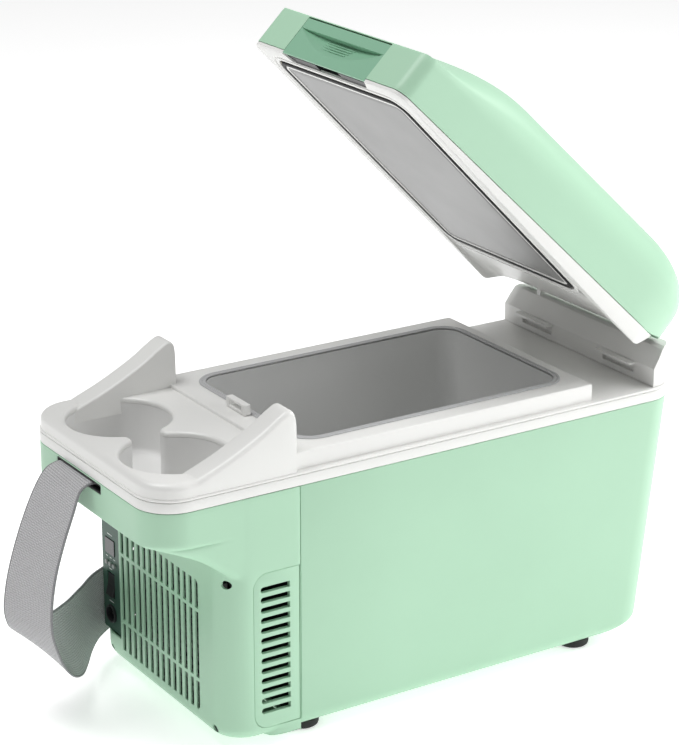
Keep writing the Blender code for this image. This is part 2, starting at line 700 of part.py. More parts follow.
def make_pipes():
    """Copper lines from the compressor to the condenser and to the evaporator, and the drier."""
    x, y = COMP_X, COMP_Y
    start = [(x + 14, y + 6, 119.5), (x + 16, y + 4, 132)]
    tube("discharge_pipe", start + [(-46, -30, 141), (-34, -50, 141), (-30, -52, 133.5)], 4.0, PIPE)
    start = [(x - 12, y + 8, 119.5), (x - 12, y + 8, 140)]
    tube("suction_pipe", start + [(x - 10, -14, 156), (x - 8, -6, 160), (x - 8, 1.5, 160)], 5.0, PIPE)
    add("filter_drier", cylinder((78, -52, 70), 7.5, 60, "Z", 20), PIPE)


def make_control_board():
    """The compressor's drive board with its tallest components."""
    board = add("control_board", box(-30, 62, -14.0, -12.4, 26, 128), CIRCUIT)
    parts = ((-22, -6, 40, 58, 9), (4, 30, 92, 110, 7), (40, 52, 36, 60, 10), (-14, 2, 80, 92, 5))
    for x0, x1, z0, z1, deep in parts:
        fuse(board, box(x0, x1, -13.0, -12.4 + deep, z0, z1))


# --- control strip -------------------------------------------------------


def make_control_panel():
    """The strip beside the grille: display, three keys, rocker switch and power inlet."""
    face = PANEL_Y + 2.5
    loop = rounded(PANEL_X[0], PANEL_X[1], 32.0, 132.0, 1.7, 2)
    panel = add("control_panel", extrude(loop, face, face + 5, "Y"), DARK_PLASTIC)
    cut(panel, box(-98.3, -81.7, face - 3, face + 9, 101.7, 116.3))
    cut(panel, box(-96.3, -83.7, face - 3, face + 9, 62.7, 85.3))
    cut(panel, cylinder((-90, face + 2, 47.5), 8.3, 20, "Y", 24))
    for i in range(3):
        cut(panel, cylinder((-96.0 + 6.5 * i, face + 2, 93.5), 2.3, 14, "Y", 14))
    add("display_window", box(-98, -82, face - 0.6, face + 4, 102, 116), BLACK_PLASTIC)
    add("power_rocker", rocker_shape(face), BLACK_PLASTIC, origin=(-90, face + 3.5, 74))
    socket = add("power_inlet", ring((-90, face + 4, 47.5), 8.0, 6.6, 12, "Y", 24), BLACK_PLASTIC)
    fuse(socket, cylinder((-90, face + 9.0, 47.5), 7.0, 2.0, "Y", 20))
    fuse(socket, cylinder((-90, face + 5.0, 47.5), 1.0, 9.0, "Y", 10))
    for i, name in enumerate(("button_set", "button_minus", "button_plus")):
        add(name, cylinder((-96.0 + 6.5 * i, face + 1.2, 93.5), 2.0, 5.6, "Y", 14), LINER_GREY)


def rocker_shape(face):
    """A rocker whose two halves stand proud at a shallow angle."""
    deep = face + 5.5
    profile = [(face - 2.6, 64.2), (deep, 65.4), (deep, 82.6), (face + 0.6, 83.8), (face - 0.2, 74.0)]
    return extrude(profile, -95.9, -84.1, "X")


# --- feet, screws, strap -------------------------------------------------


def make_feet():
    for name, (x, y) in zip(FOOT_NAMES, FOOT_SPOTS):
        rows = []
        for z, r in ((0.0, 11.5), (1.2, 13.6), (5.0, 14.0), (FOOT_H - GAP, 14.0)):
            rows.append([(x + a, y + b, z) for a, b in arc(0, 0, r, 0, 360 - 15, 23)])
        add(name, loft(rows), RUBBER)


def make_screws():
    for k, (x, y, z) in enumerate(SCREW_SPOTS):
        name = f"casing_screw_{'left' if x < 0 else 'right'}_{'top' if z > 100 else 'bottom'}"
        add(name, cylinder((x, y + 1.5, z), 3.0, 4.0, "Y", 14), METAL)


def make_strap():
    """Carry webbing: from the front slot down in a loose loop, round the left side to the rear slot."""
    middles = smooth_line([Vector(p) for p, _ in STRAP_ROUTE], 2)
    widths = smooth_line([Vector(w).normalized() for _, w in STRAP_ROUTE], 2)
    rows = []
    for i, (p, w) in enumerate(zip(middles, widths)):
        along = (middles[min(i + 1, len(middles) - 1)] - middles[max(i - 1, 0)]).normalized()
        w = (w - along * w.dot(along)).normalized() * STRAP_W / 2
        n = along.cross(w).normalized() * STRAP_T / 2
        rows.append([p + w + n, p + w - n, p - w - n, p - w + n])
    add("carry_strap", loft(rows), WEBBING)


def make_strap_slots():
    """The moulded pockets that the webbing's two ends go into."""
    x0, x1 = SLOT_X
    z0, z1 = SLOT_Z
    body = box(x0 + GAP, x1 - GAP, FRONT_Y + 0.2, -122.2, z0 + GAP, z1 - GAP)
    front = add("strap_slot_front", body, BLACK_PLASTIC)
    cut(front, box(x0 + 1.3, x1 - 1.3, FRONT_Y - 5, -123.2, z0 + 1.4, z1 - 1.4))
    rear = add("strap_slot_rear", box(-69.7, -56.3, 362.0, 377.5, 148.3, 215.7), BLACK_PLASTIC)
    cut(rear, box(-66.5, -59.5, 364.0, 385.0, 151.5, 212.5))


# --- lid -----------------------------------------------------------------
# The lid is drawn closed and then swung open by its parent, the hinge axis.


def seam_z(y):
    return SEAM_FRONT + (SEAM_REAR - SEAM_FRONT) * max(0.0, min(1.0, y / PAN_REAR))


def ease(t):
    t = max(0.0, min(1.0, t))
    return t * t * (3 - 2 * t)


def dome_rise(y):
    """How far the middle of the lid stands above its side crease."""
    front = math.sin(math.pi / 2 * min(1.0, max(0.0, (y - 2) / 170))) ** 1.25
    return DOME_H * front


def lid_top(y):
    """Heights of the crease and of the middle at a station along the lid."""
    crease = seam_z(y) + CREASE_H - 1.6 * (1 - y / PAN_REAR)
    return crease, crease + dome_rise(y)


def lid_section(y, inset, low):
    """One cross-section, as x and z, from the right seam over the top to the left seam."""
    crease, top = lid_top(min(y, REAR_BEND))
    half = LID_HALF - inset
    if y > REAR_BEND:
        t = (y - REAR_BEND) / (LID_REAR_Y - REAR_BEND)
        drop = 1 - math.sqrt(max(0.0, 1 - t * t))
        crease -= 14 * drop
        top -= 24 * drop
        half -= CORNER_PULL * drop
    side = [(half, low), (half, low + (crease - low) * 0.5), (half, crease - 3 - inset)]
    crown = []
    for i in range(1, 18):
        c, s = math.cos(math.pi * i / 18), math.sin(math.pi * i / 18)
        x = (half - 1.2) * math.copysign(abs(c) ** 0.62, c)
        crown.append((x, crease - inset + (top - crease) * abs(s) ** 1.15))
    return side + crown + [(-x, z) for x, z in reversed(side)]


def lid_stations(first, last):
    steps = [first + (REAR_BEND - first) * i / STATIONS for i in range(STATIONS + 1)]
    for i in range(1, 9):
        steps.append(REAR_BEND + (last - REAR_BEND) * math.sin(math.pi / 2 * i / 8))
    return steps


def lid_bottom(y):
    """The green shell's lower edge: the seam, then up and over the hinge housing."""
    if y <= PAN_REAR:
        return seam_z(y)
    return seam_z(PAN_REAR) + (TAIL_Z - seam_z(PAN_REAR)) * ease((y - PAN_REAR) / (LID_REAR_Y - PAN_REAR))


def lid_solid(inset, first, last, drop):
    rows = []
    for y in lid_stations(first, last):
        low = lid_bottom(y) - drop
        rows.append([(x, y, z) for x, z in lid_section(y, inset, low)])
    return loft(rows)


def make_lid_shell():
    shell = add("lid_shell", lid_solid(0.0, 0.0, LID_REAR_Y, 0.0), PAINT, LID_DRAW, smooth_deg=28)
    cut(shell, lid_solid(WALL, WALL, LID_REAR_Y - WALL, 30.0))
    cut(shell, box(-LATCH_HALF - GAP, LATCH_HALF + GAP, -5, 12, LID_Z - 5, LID_Z + LID_FRONT_H + 0.5))
    cut(shell, *[box(s * 70 - 4, s * 70 + 4, 360, 390, 255, 290) for s in (-1, 1)])


def make_lid_pan():
    """White moulding under the shell, with the pocket that the gasket and inner panel sit in."""
    half = LID_HALF - GAP
    profile = [
        (GAP, LID_Z),
        (PAN_REAR - 2, LID_Z),
        (PAN_REAR + 2, LID_Z + 1.5),
        (353.0, lid_bottom(353.0) - 4),
        (362.0, lid_bottom(362.0) - GAP),
        (355.0, lid_bottom(355.0) - GAP),
        (348.0, lid_bottom(348.0) - GAP),
        (PAN_REAR, SEAM_REAR - GAP),
        (GAP, SEAM_FRONT - GAP),
    ]
    pan = add("lid_pan", extrude(profile, -half, half, "X"), SHELL_WHITE, LID_DRAW)
    plan = rounded(-half, half, GAP, 366.0, (4, 4, 30, 30), 6)
    guide = add("lid_pan_plan", extrude(plan, 200, 320), None, LID_DRAW)
    boolean(pan, guide, "INTERSECT")
    fuse(pan, cylinder((0, HINGE_Y, HINGE_Z), 6.5, 132.0, "X", 24))
    arm = [
        (350.0, TAIL_Z - 8.0),
        (358.0, TAIL_Z - 4),
        (HINGE_Y - 1, HINGE_Z - 5.8),
        (HINGE_Y, HINGE_Z + 5.8),
        (350.0, HINGE_Z + 2),
    ]
    fuse(pan, extrude(arm, -66.0, 66.0, "X"))
    cut(pan, cylinder((0, HINGE_Y, HINGE_Z), 2.8, 140, "X", 20))
    pocket = rounded(-GASKET_X, GASKET_X, GASKET_Y0, GASKET_Y1, 16, 6)
    cut(pan, extrude(pocket, LID_Z - 5, LID_Z + 1.6))
    cut(pan, box(-LATCH_HALF - GAP, LATCH_HALF + GAP, -5, 12, LID_Z - 5, LID_Z + 20))
    cut(pan, *[box(s * 70.2 - 3.9, s * 70.2 + 3.9, 354, 390, 240, 290) for s in (-1, 1)])
    return pan


def make_gasket():
    """Black seal that lies proud of the pan and meets the collar when the lid is shut."""
    outer = rounded(-GASKET_X + 2.5, GASKET_X - 2.5, GASKET_Y0 + 2.5, GASKET_Y1 - 2.5, 13.5, 6)
    inner = rounded(-GASKET_X + 6.5, GASKET_X - 6.5, GASKET_Y0 + 6.5, GASKET_Y1 - 6.5, 9.5, 6)
    add("lid_gasket", frame_of(outer, inner, LID_Z - 0.5, LID_Z + 1.6 - GAP), RUBBER, LID_DRAW)


def make_inner_panel():
    loop = rounded(-GASKET_X + 10, GASKET_X - 10, GASKET_Y0 + 10, GASKET_Y1 - 10, 7, 6)
    add("lid_inner_panel", extrude(loop, LID_Z + 0.4, LID_Z + 1.6 - GAP), LINER_GREY, LID_DRAW)


def make_lid_foam():
    """Insulation that fills the dome over the pan."""
    half = LID_HALF - 5
    rows = []
    for y in (16.0, 60.0, 130.0, 200.0, 270.0, 332.0):
        crease, top = lid_top(y)
        low = seam_z(y) + GAP
        high = (crease + top) / 2 - 6
        section = [(half, low), (half, crease - 8), (half * 0.6, high)]
        mirrored = [(-x, z) for x, z in reversed(section)]
        rows.append([(x, y, z) for x, z in section + mirrored])
    add("lid_foam", loft(rows), PU_FOAM, LID_DRAW)


def make_latch():
    """The darker pull panel in the lid's front, its pin and its return spring."""
    z0, z1 = LID_Z + 1.0, LID_Z + LID_FRONT_H - 1.2
    pivot = (0, 6.0, z1 - 5.0)
    lever = add("latch_lever", box(-LATCH_HALF, LATCH_HALF, 0.2, 3.2, z0, z1), PAINT_DEEP, LID_DRAW, pivot)
    fuse(lever, cylinder(pivot, 3.4, 90, "X", 20))
    fuse(lever, box(-44, 44, 2.0, 5.0, pivot[2] - 3, pivot[2] + 3))
    fuse(lever, box(-8, 8, 2.0, 4.9, LID_Z + 2.0, LID_Z + 4.2))
    cut(lever, cylinder(pivot, 1.8, 120, "X", 16))
    cut(lever, cylinder(pivot, 4.4, 24, "X", 20))
    add("latch_pin", cylinder(pivot, 1.5, 2 * LATCH_HALF - 0.6, "X", 16), METAL, LID_DRAW)
    add("latch_spring", ring(pivot, 2.9, 1.9, 20, "X", 16), METAL, LID_DRAW)


def make_hinge_pins():
    for s, name in ((-1, "hinge_pin_left"), (1, "hinge_pin_right")):
        add(name, cylinder((s * 64.0, HINGE_Y, HINGE_Z), 2.5, 24.0, "X", 20), METAL)


make_main_shell()
make_front_casing()
for side_sign in (-1, 1):
    make_side_vent(side_sign)
make_rim_band()
make_top_cover()
make_cup_tray()
make_hinge_housing()
make_lips()
make_catch()
make_liner()
make_liner_trim()
make_insulation()
make_evaporator()
make_bulkhead()
make_compressor()
make_condenser()
make_fan()
make_pipes()
make_control_board()
make_control_panel()
make_feet()
make_screws()
make_strap()
make_strap_slots()
make_lid_shell()
make_lid_pan()
make_gasket()
make_inner_panel()
make_lid_foam()
make_latch()
make_hinge_pins()
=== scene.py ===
"""Finished look of the vehicle compressor cooler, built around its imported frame.

Lengths are in millimetres until a mesh is placed. Cabinet pieces are drawn with y counted
from the seam between the casing and the shell; lid pieces are drawn shut in that same frame
and swung open about the lid's hinge.
"""

import json
import math

import bmesh
import bpy
import numpy as np
from mathutils import Matrix, Vector

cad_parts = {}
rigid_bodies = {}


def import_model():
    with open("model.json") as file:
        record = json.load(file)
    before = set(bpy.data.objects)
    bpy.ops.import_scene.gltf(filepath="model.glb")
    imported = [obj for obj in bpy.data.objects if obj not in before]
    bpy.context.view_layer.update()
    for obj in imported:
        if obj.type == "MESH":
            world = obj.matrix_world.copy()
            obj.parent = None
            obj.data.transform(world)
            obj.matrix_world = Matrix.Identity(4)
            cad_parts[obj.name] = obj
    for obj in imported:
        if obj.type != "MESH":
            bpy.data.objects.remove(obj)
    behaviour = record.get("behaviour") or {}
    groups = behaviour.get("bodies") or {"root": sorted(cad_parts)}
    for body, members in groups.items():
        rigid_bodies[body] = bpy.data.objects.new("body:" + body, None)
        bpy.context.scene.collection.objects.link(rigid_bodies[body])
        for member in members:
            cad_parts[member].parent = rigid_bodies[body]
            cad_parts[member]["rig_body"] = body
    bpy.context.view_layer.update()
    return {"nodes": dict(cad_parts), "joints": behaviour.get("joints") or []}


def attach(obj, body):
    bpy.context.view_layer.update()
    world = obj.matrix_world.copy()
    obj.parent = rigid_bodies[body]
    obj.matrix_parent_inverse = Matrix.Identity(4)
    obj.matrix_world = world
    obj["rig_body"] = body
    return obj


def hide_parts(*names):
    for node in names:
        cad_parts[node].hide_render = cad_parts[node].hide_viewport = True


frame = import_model()
NODES = frame["nodes"]
HINGE = Vector(next(j["pos_m"] for j in frame["joints"] if j["name"] == "lid_hinge"))
OPEN = math.radians(45.5)

MM = 0.001
GAP = 0.3
HALF_W = 108.5
FRONT_Y = -128.5
REAR_Y = 379.0
FOOT_H = 8.0
SEAM_Z = 218.0
RIM_TOP = 227.0
PANEL_Y = -68.0
DECK_Z = 241.5
LEDGE_Z = 244.3
FLOOR_Z = 229.6
COLLAR_END = 288.0
EDGE_R, BODY_R, BAND_R, REAR_R = 13.0, 24.0, 32.0, 30.0  # bottom edge; corners of body, band and rear
CUP_X, CUP_Y, CUP_R, CUP_FLOOR = 46.0, -76.0, 43.0, 195.5
PASSAGE, HORN_R = 14.0, 6.0
LINER_X, LINER_Y0, LINER_Y1, LINER_R = 82.5, 18.0, 272.0, 18.0
LINER_FLOOR, LINER_TOP = 42.0, 243.5
HINGE_Y, HINGE_Z = 367.0, 276.0
LID_HALF, LID_Z, LID_FRONT_H, LID_REAR_Y = 109.0, 245.9, 37.5, 376.5
LATCH_HALF, LATCH_Y = 60.0, 0.2
GASKET_X, GASKET_Y0, GASKET_Y1 = 93.0, 16.5, 274.0

CABINET = Matrix.Translation((0, HINGE.y - HINGE_Y * MM, 0)) @ Matrix.Scale(MM, 4)
LID = (
    Matrix.Translation(HINGE)
    @ Matrix.Rotation(-OPEN, 4, "X")
    @ Matrix.Translation((0, -HINGE_Y * MM, -HINGE_Z * MM))
    @ Matrix.Scale(MM, 4)
)


# --- materials -----------------------------------------------------------


def node(tree, kind, **settings):
    made = tree.nodes.new(kind)
    for key, value in settings.items():
        if hasattr(made, key):
            setattr(made, key, value)
        else:
            made.inputs[key.replace("_", " ")].default_value = value
    return made


def base(name, rough, **sockets):
    made = bpy.data.materials.new(name)
    made.use_nodes = True
    shader = made.node_tree.nodes["Principled BSDF"]
    shader.inputs["Roughness"].default_value = rough
    for key, value in sockets.items():
        shader.inputs[key.replace("_", " ")].default_value = value
    return made, made.node_tree, shader


def shade(colour, amount):
    return tuple(min(1.0, c * amount) for c in colour) + (1.0,)


def tinted(tree, shader, colour, spread, scale):
    """Faint uneven tint, so that a wide face isn't one flat colour; gives the coordinates used."""
    place = node(tree, "ShaderNodeTexCoord")
    noise = node(tree, "ShaderNodeTexNoise", Scale=scale, Detail=3.0)
    ramp = node(tree, "ShaderNodeValToRGB")
    ramp.color_ramp.elements[0].position = 0.35
    ramp.color_ramp.elements[1].position = 0.65
    ramp.color_ramp.elements[0].color = shade(colour, 1 - spread)
    ramp.color_ramp.elements[1].color = shade(colour, 1 + spread)
    tree.links.new(place.outputs["Object"], noise.inputs["Vector"])
    tree.links.new(noise.outputs["Fac"], ramp.inputs["Fac"])
    tree.links.new(ramp.outputs["Color"], shader.inputs["Base Color"])
    return place


def plastic(name, colour, rough=0.35, grain=0.02, grain_scale=1600.0, spread=0.012, coat=0.0):
    """Moulded plastic: fine spark-eroded grain, patchy gloss and a faint uneven tint."""
    made, tree, shader = base(name, rough, Coat_Weight=coat, Coat_Roughness=0.2, IOR=1.49)
    place = tinted(tree, shader, colour, spread, 9.0)
    fine = node(tree, "ShaderNodeTexNoise", Scale=grain_scale, Detail=2.0)
    bump = node(tree, "ShaderNodeBump", Strength=grain, Distance=0.0004)
    tree.links.new(place.outputs["Object"], fine.inputs["Vector"])
    tree.links.new(fine.outputs["Fac"], bump.inputs["Height"])
    tree.links.new(bump.outputs["Normal"], shader.inputs["Normal"])
    patch = node(tree, "ShaderNodeTexNoise", Scale=26.0, Detail=4.0)
    span = node(tree, "ShaderNodeMapRange")
    span.inputs["To Min"].default_value = max(0.05, rough - 0.04)
    span.inputs["To Max"].default_value = min(1.0, rough + 0.05)
    tree.links.new(place.outputs["Object"], patch.inputs["Vector"])
    tree.links.new(patch.outputs["Fac"], span.inputs["Value"])
    tree.links.new(span.outputs["Result"], shader.inputs["Roughness"])
    return made


def metal(name, colour, rough, stretch=(1.0, 60.0, 1.0)):
    """Brushed or drawn metal, its fine lines running one way."""
    made, tree, shader = base(name, rough, Metallic=1.0)
    place = tinted(tree, shader, colour, 0.06, 60.0)
    turn = node(tree, "ShaderNodeMapping")
    turn.inputs["Scale"].default_value = stretch
    lines = node(tree, "ShaderNodeTexNoise", Scale=180.0, Detail=3.0)
    bump = node(tree, "ShaderNodeBump", Strength=0.12, Distance=0.0003)
    tree.links.new(place.outputs["Object"], turn.inputs["Vector"])
    tree.links.new(turn.outputs["Vector"], lines.inputs["Vector"])
    tree.links.new(lines.outputs["Fac"], bump.inputs["Height"])
    tree.links.new(bump.outputs["Normal"], shader.inputs["Normal"])
    return made


def foam_finish():
    made, tree, shader = base("poured_foam", 0.9)
    place = tinted(tree, shader, (0.84, 0.76, 0.55), 0.08, 30.0)
    cells = node(tree, "ShaderNodeTexVoronoi", Scale=700.0)
    bump = node(tree, "ShaderNodeBump", Strength=0.5, Distance=0.0008)
    tree.links.new(place.outputs["Object"], cells.inputs["Vector"])
    tree.links.new(cells.outputs["Distance"], bump.inputs["Height"])
    tree.links.new(bump.outputs["Normal"], shader.inputs["Normal"])
    return made


def webbing_with_painted_shade(width, length):
    """Basket weave: ribs that pass over and under in a checker, coloured darker down in the weave's dips as
    painted shade, with plain darker edges.
    """
    made, tree, shader = base("grey_webbing", 0.85, Sheen_Weight=0.25, Sheen_Roughness=0.4)
    cell, plain_edge = 1.9, 1.6
    place = node(tree, "ShaderNodeUVMap")
    split = node(tree, "ShaderNodeSeparateXYZ")
    tree.links.new(place.outputs["UV"], split.inputs["Vector"])

    def math_node(kind, a, b=None):
        made_node = node(tree, "ShaderNodeMath", operation=kind)
        for socket, value in zip(made_node.inputs, (a, b)):
            if value is None:
                continue
            if isinstance(value, (int, float)):
                socket.default_value = value
            else:
                tree.links.new(value, socket)
        return made_node.outputs[0]

    across = math_node("MULTIPLY", split.outputs["X"], width / cell)
    along = math_node("MULTIPLY", split.outputs["Y"], length / cell)
    round_x = math_node("ABSOLUTE", math_node("SINE", math_node("MULTIPLY", across, math.pi)))
    round_y = math_node("ABSOLUTE", math_node("SINE", math_node("MULTIPLY", along, math.pi)))
    parity = math_node(
        "MODULO", math_node("ADD", math_node("FLOOR", across), math_node("FLOOR", along)), 2.0
    )
    over = math_node("MULTIPLY", parity, round_x)
    under = math_node("MULTIPLY", math_node("SUBTRACT", 1.0, parity), round_y)
    height = math_node("ADD", over, under)
    fibre = node(tree, "ShaderNodeTexNoise", Scale=900.0, Detail=3.0)
    height = math_node("ADD", height, math_node("MULTIPLY", fibre.outputs["Fac"], 0.35))
    bump = node(tree, "ShaderNodeBump", Strength=0.75, Distance=0.0006)
    tree.links.new(height, bump.inputs["Height"])
    tree.links.new(bump.outputs["Normal"], shader.inputs["Normal"])
    # The weave's height sets its colour: its dips are darkened as painted shade.
    ramp = node(tree, "ShaderNodeValToRGB")
    ramp.color_ramp.elements[0].color = (0.17, 0.17, 0.175, 1)
    ramp.color_ramp.elements[0].position = 0.1
    ramp.color_ramp.elements[1].color = (0.62, 0.615, 0.63, 1)
    ramp.color_ramp.elements[1].position = 0.95
    tree.links.new(height, ramp.inputs["Fac"])
    edge = math_node("ABSOLUTE", math_node("SUBTRACT", split.outputs["X"], 0.5))
    rim = math_node("GREATER_THAN", edge, 0.5 - plain_edge / width)
    mix = node(tree, "ShaderNodeMix", data_type="RGBA")
    tree.links.new(rim, mix.inputs["Factor"])
    tree.links.new(ramp.outputs["Color"], mix.inputs["A"])
    mix.inputs["B"].default_value = (0.27, 0.27, 0.28, 1)
    tree.links.new(mix.outputs["Result"], shader.inputs["Base Color"])
    return made


MINT_RGB = (0.42, 0.66, 0.48)
MINT = plastic("mint_moulding", MINT_RGB, 0.42, grain=0.05)
MINT_LID = plastic("mint_lid_moulding", MINT_RGB, 0.4, grain=0.04)
LATCH_GREEN = plastic("deep_mint_moulding", (0.24, 0.47, 0.32), 0.42, grain=0.05)
WHITE = plastic("white_moulding", (0.81, 0.81, 0.79), 0.32, grain=0.03, spread=0.006)
WHITE_CUP = plastic("white_cup_moulding", (0.8, 0.8, 0.79), 0.38, grain=0.04, spread=0.006)
LINER_GREY = plastic("liner_moulding", (0.74, 0.745, 0.735), 0.4, grain=0.06)
TRIM_GREY = plastic("trim_moulding", (0.46, 0.465, 0.47), 0.35)
PANEL_GREY = plastic("inner_sheet", (0.2, 0.2, 0.198), 0.3, grain=0.03, spread=0.05)
BLACK = plastic("black_moulding", (0.018, 0.018, 0.02), 0.4, grain=0.06, spread=0.1)
GLOSS_BLACK = plastic("display_cover", (0.01, 0.01, 0.012), 0.12, grain=0.0, spread=0.1, coat=0.4)
DARK_GREEN = plastic("control_face", (0.035, 0.10, 0.07), 0.4, grain=0.04, spread=0.08)
RUBBER = plastic("black_rubber", (0.022, 0.022, 0.022), 0.75, grain=0.3, grain_scale=900.0, spread=0.15)
SEAL = plastic("seal_rubber", (0.012, 0.012, 0.013), 0.6, grain=0.1, spread=0.15)
MARK = plastic("printed_mark", (0.75, 0.78, 0.76), 0.5, spread=0.03)
BOARD_GREEN = plastic("circuit_board", (0.02, 0.16, 0.07), 0.35, grain=0.3, grain_scale=300.0, spread=0.3)
KEY_GREY = plastic("key_grey", (0.35, 0.37, 0.36), 0.5, spread=0.05)
STEEL = metal("plain_steel", (0.56, 0.57, 0.58), 0.32)
DARK_STEEL = metal("plated_screw", (0.16, 0.165, 0.17), 0.38)
ALUMINIUM = metal("mill_aluminium", (0.78, 0.79, 0.80), 0.36, (60.0, 1.0, 1.0))
COPPER = metal("drawn_copper", (0.72, 0.36, 0.22), 0.28)
BLACK_PAINT = plastic("can_paint", (0.015, 0.015, 0.016), 0.3, grain=0.1, grain_scale=500.0, coat=0.3)
FOAM = foam_finish()


# --- mesh helpers --------------------------------------------------------

WELD, WELD_M = 1e-4, 2e-6  # merge distances: for meshes in millimetres, and once placed, in metres


def arc(cx, cy, radius, start, end, steps):
    return [
        (
            cx + radius * math.cos(math.radians(start + (end - start) * i / steps)),
            cy + radius * math.sin(math.radians(start + (end - start) * i / steps)),
        )
        for i in range(steps + 1)
    ]


def rounded(x0, x1, y0, y1, radii, steps):
    """A rectangle with a radius for each corner: front left, front right, rear right, rear left."""
    fl, fr, rr, rl = radii if hasattr(radii, "__len__") else (radii,) * 4
    return (
        arc(x0 + fl, y0 + fl, fl, 180, 270, steps)
        + arc(x1 - fr, y0 + fr, fr, 270, 360, steps)
        + arc(x1 - rr, y1 - rr, rr, 0, 90, steps)
        + arc(x0 + rl, y1 - rl, rl, 90, 180, steps)
    )


def quarter(across, up, steps):
    """Steps round a quarter ellipse, from (0, up) to (across, 0)."""
    turns = [math.pi / 2 * k / steps for k in range(steps + 1)]
    return [(across * (1 - math.cos(a)), up * (1 - math.sin(a))) for a in turns]


def loft(rows, caps=True, closed=True, rings=False):
    """Rows of points skinned in order; rings joins the last row to the first."""
    bm = bmesh.new()
    made = [[bm.verts.new(p) for p in row] for row in rows]
    count = len(made[0])
    pairs = list(zip(made, made[1:]))
    if rings:
        pairs.append((made[-1], made[0]))
    for low, high in pairs:
        for i in range(count if closed else count - 1):
            j = (i + 1) % count
            bm.faces.new((low[i], low[j], high[j], high[i]))
    if caps and not rings:
        bm.faces.new(list(reversed(made[0])))
        bm.faces.new(made[-1])
    return bm


def at(loop, level, axis="Z"):
    """A flat loop's points at one level: pairs are (x, y) for Z, (x, z) for Y, (y, z) for X."""
    if axis == "Z":
        return [(a, b, level) for a, b in loop]
    if axis == "Y":
        return [(a, level, b) for a, b in loop]
    return [(level, a, b) for a, b in loop]


def prism(loop, low, high, axis="Z"):
    return loft([at(loop, low, axis), at(loop, high, axis)])


def box(x0, x1, y0, y1, z0, z1):
    return prism([(x0, y0), (x1, y0), (x1, y1), (x0, y1)], z0, z1)


def soft_box(x0, x1, y0, y1, z0, z1, edge, corner):
    """A box with rounded plan corners and rounded top and bottom edges."""

    def outline(pull, level):
        return at(rounded(x0 + pull, x1 - pull, y0 + pull, y1 - pull, corner, 4), level)

    rows = [outline(pull, z0 + rise) for rise, pull in quarter(edge, edge, 3)]
    rows += [outline(pull, z1 - drop) for pull, drop in quarter(edge, edge, 3)]
    return loft(rows)


def turned(profile, middle, axis, sides):
    """A closed lathe shape: (radius, height) pairs turned about an axis through `middle`."""
    rows = []
    for radius, height in profile:
        row = []
        for i in range(sides):
            a = math.tau * i / sides
            u, v = radius * math.cos(a), radius * math.sin(a)
            p = {"Z": (u, v, height), "Y": (u, height, -v), "X": (height, u, v)}[axis]
            row.append(tuple(m + c for m, c in zip(middle, p)))
        rows.append(row)
    return loft(rows)


def written(name, bm):
    mesh = bpy.data.meshes.new(name)
    bm.to_mesh(mesh)
    bm.free()
    return mesh


def added(name, data):
    made = bpy.data.objects.new(name, data)
    bpy.context.scene.collection.objects.link(made)
    return made


def raw(name, bm, matrix):
    """An object from a mesh in millimetres, welded, turned outwards and placed by `matrix`."""
    bmesh.ops.remove_doubles(bm, verts=bm.verts, dist=WELD)
    bmesh.ops.recalc_face_normals(bm, faces=bm.faces)
    if all(len(e.link_faces) == 2 for e in bm.edges) and bm.calc_volume(signed=True) < 0:
        bmesh.ops.reverse_faces(bm, faces=bm.faces)
    bm.transform(matrix)
    return added(name, written(name, bm))


def settle(obj):
    """Apply the object's modifiers to its mesh."""
    graph = bpy.context.evaluated_depsgraph_get()
    mesh = bpy.data.meshes.new_from_object(obj.evaluated_get(graph))
    obj.modifiers.clear()
    obj.data = mesh


def boolean(obj, other, operation):
    """Join or cut, then weld what the cut left split."""
    step = obj.modifiers.new("join", "BOOLEAN")
    step.operation = operation
    step.object = other
    step.solver = "EXACT"
    settle(obj)
    bpy.data.objects.remove(other, do_unlink=True)
    bm = bmesh.new()
    bm.from_mesh(obj.data)
    bmesh.ops.remove_doubles(bm, verts=bm.verts, dist=WELD_M)
    bmesh.ops.dissolve_degenerate(bm, edges=bm.edges, dist=WELD_M)
    bm.to_mesh(obj.data)
    bm.free()


def join(obj, bodies, matrix, operation="UNION"):
    for body in bodies:
        boolean(obj, raw("guide", body, matrix), operation)


def carve(obj, bodies, matrix):
    """Cut shapes that don't touch each other in one go."""
    whole = bmesh.new()
    for body in bodies:
        bmesh.ops.recalc_face_normals(body, faces=body.faces)
        mesh = written("guide", body)
        whole.from_mesh(mesh)
        bpy.data.meshes.remove(mesh)
    boolean(obj, raw("guide", whole, matrix), "DIFFERENCE")


def finish(obj, look, body, replaces=(), angle=32.0, bevel=0.0):
    """Shade, soften, place, and hide the CAD nodes that the piece stands for."""
    obj.data.materials.clear()
    obj.data.materials.append(look)
    obj.data.shade_smooth()
    obj.data.set_sharp_from_angle(angle=math.radians(angle))
    if bevel:
        step = obj.modifiers.new("edge", "BEVEL")
        step.width = bevel * MM
        step.segments = 2
        step.limit_method = "ANGLE"
        step.angle_limit = math.radians(angle)
        step.harden_normals = True
        step.miter_outer = "MITER_ARC"
    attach(obj, body)
    if replaces:
        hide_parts(*replaces)


def refined(name, look, bevel):
    """A new piece with the CAD node's own shape, its edges broken as a mould breaks them."""
    cad = NODES[name]
    bm = bmesh.new()
    bm.from_mesh(cad.data)
    bmesh.ops.remove_doubles(bm, verts=bm.verts, dist=WELD_M)
    bmesh.ops.dissolve_limit(bm, angle_limit=math.radians(0.6), verts=bm.verts, edges=bm.edges)
    made = added(name + "_look", written(name + "_look", bm))
    finish(made, look, cad["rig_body"], (name,), 28.0, bevel)


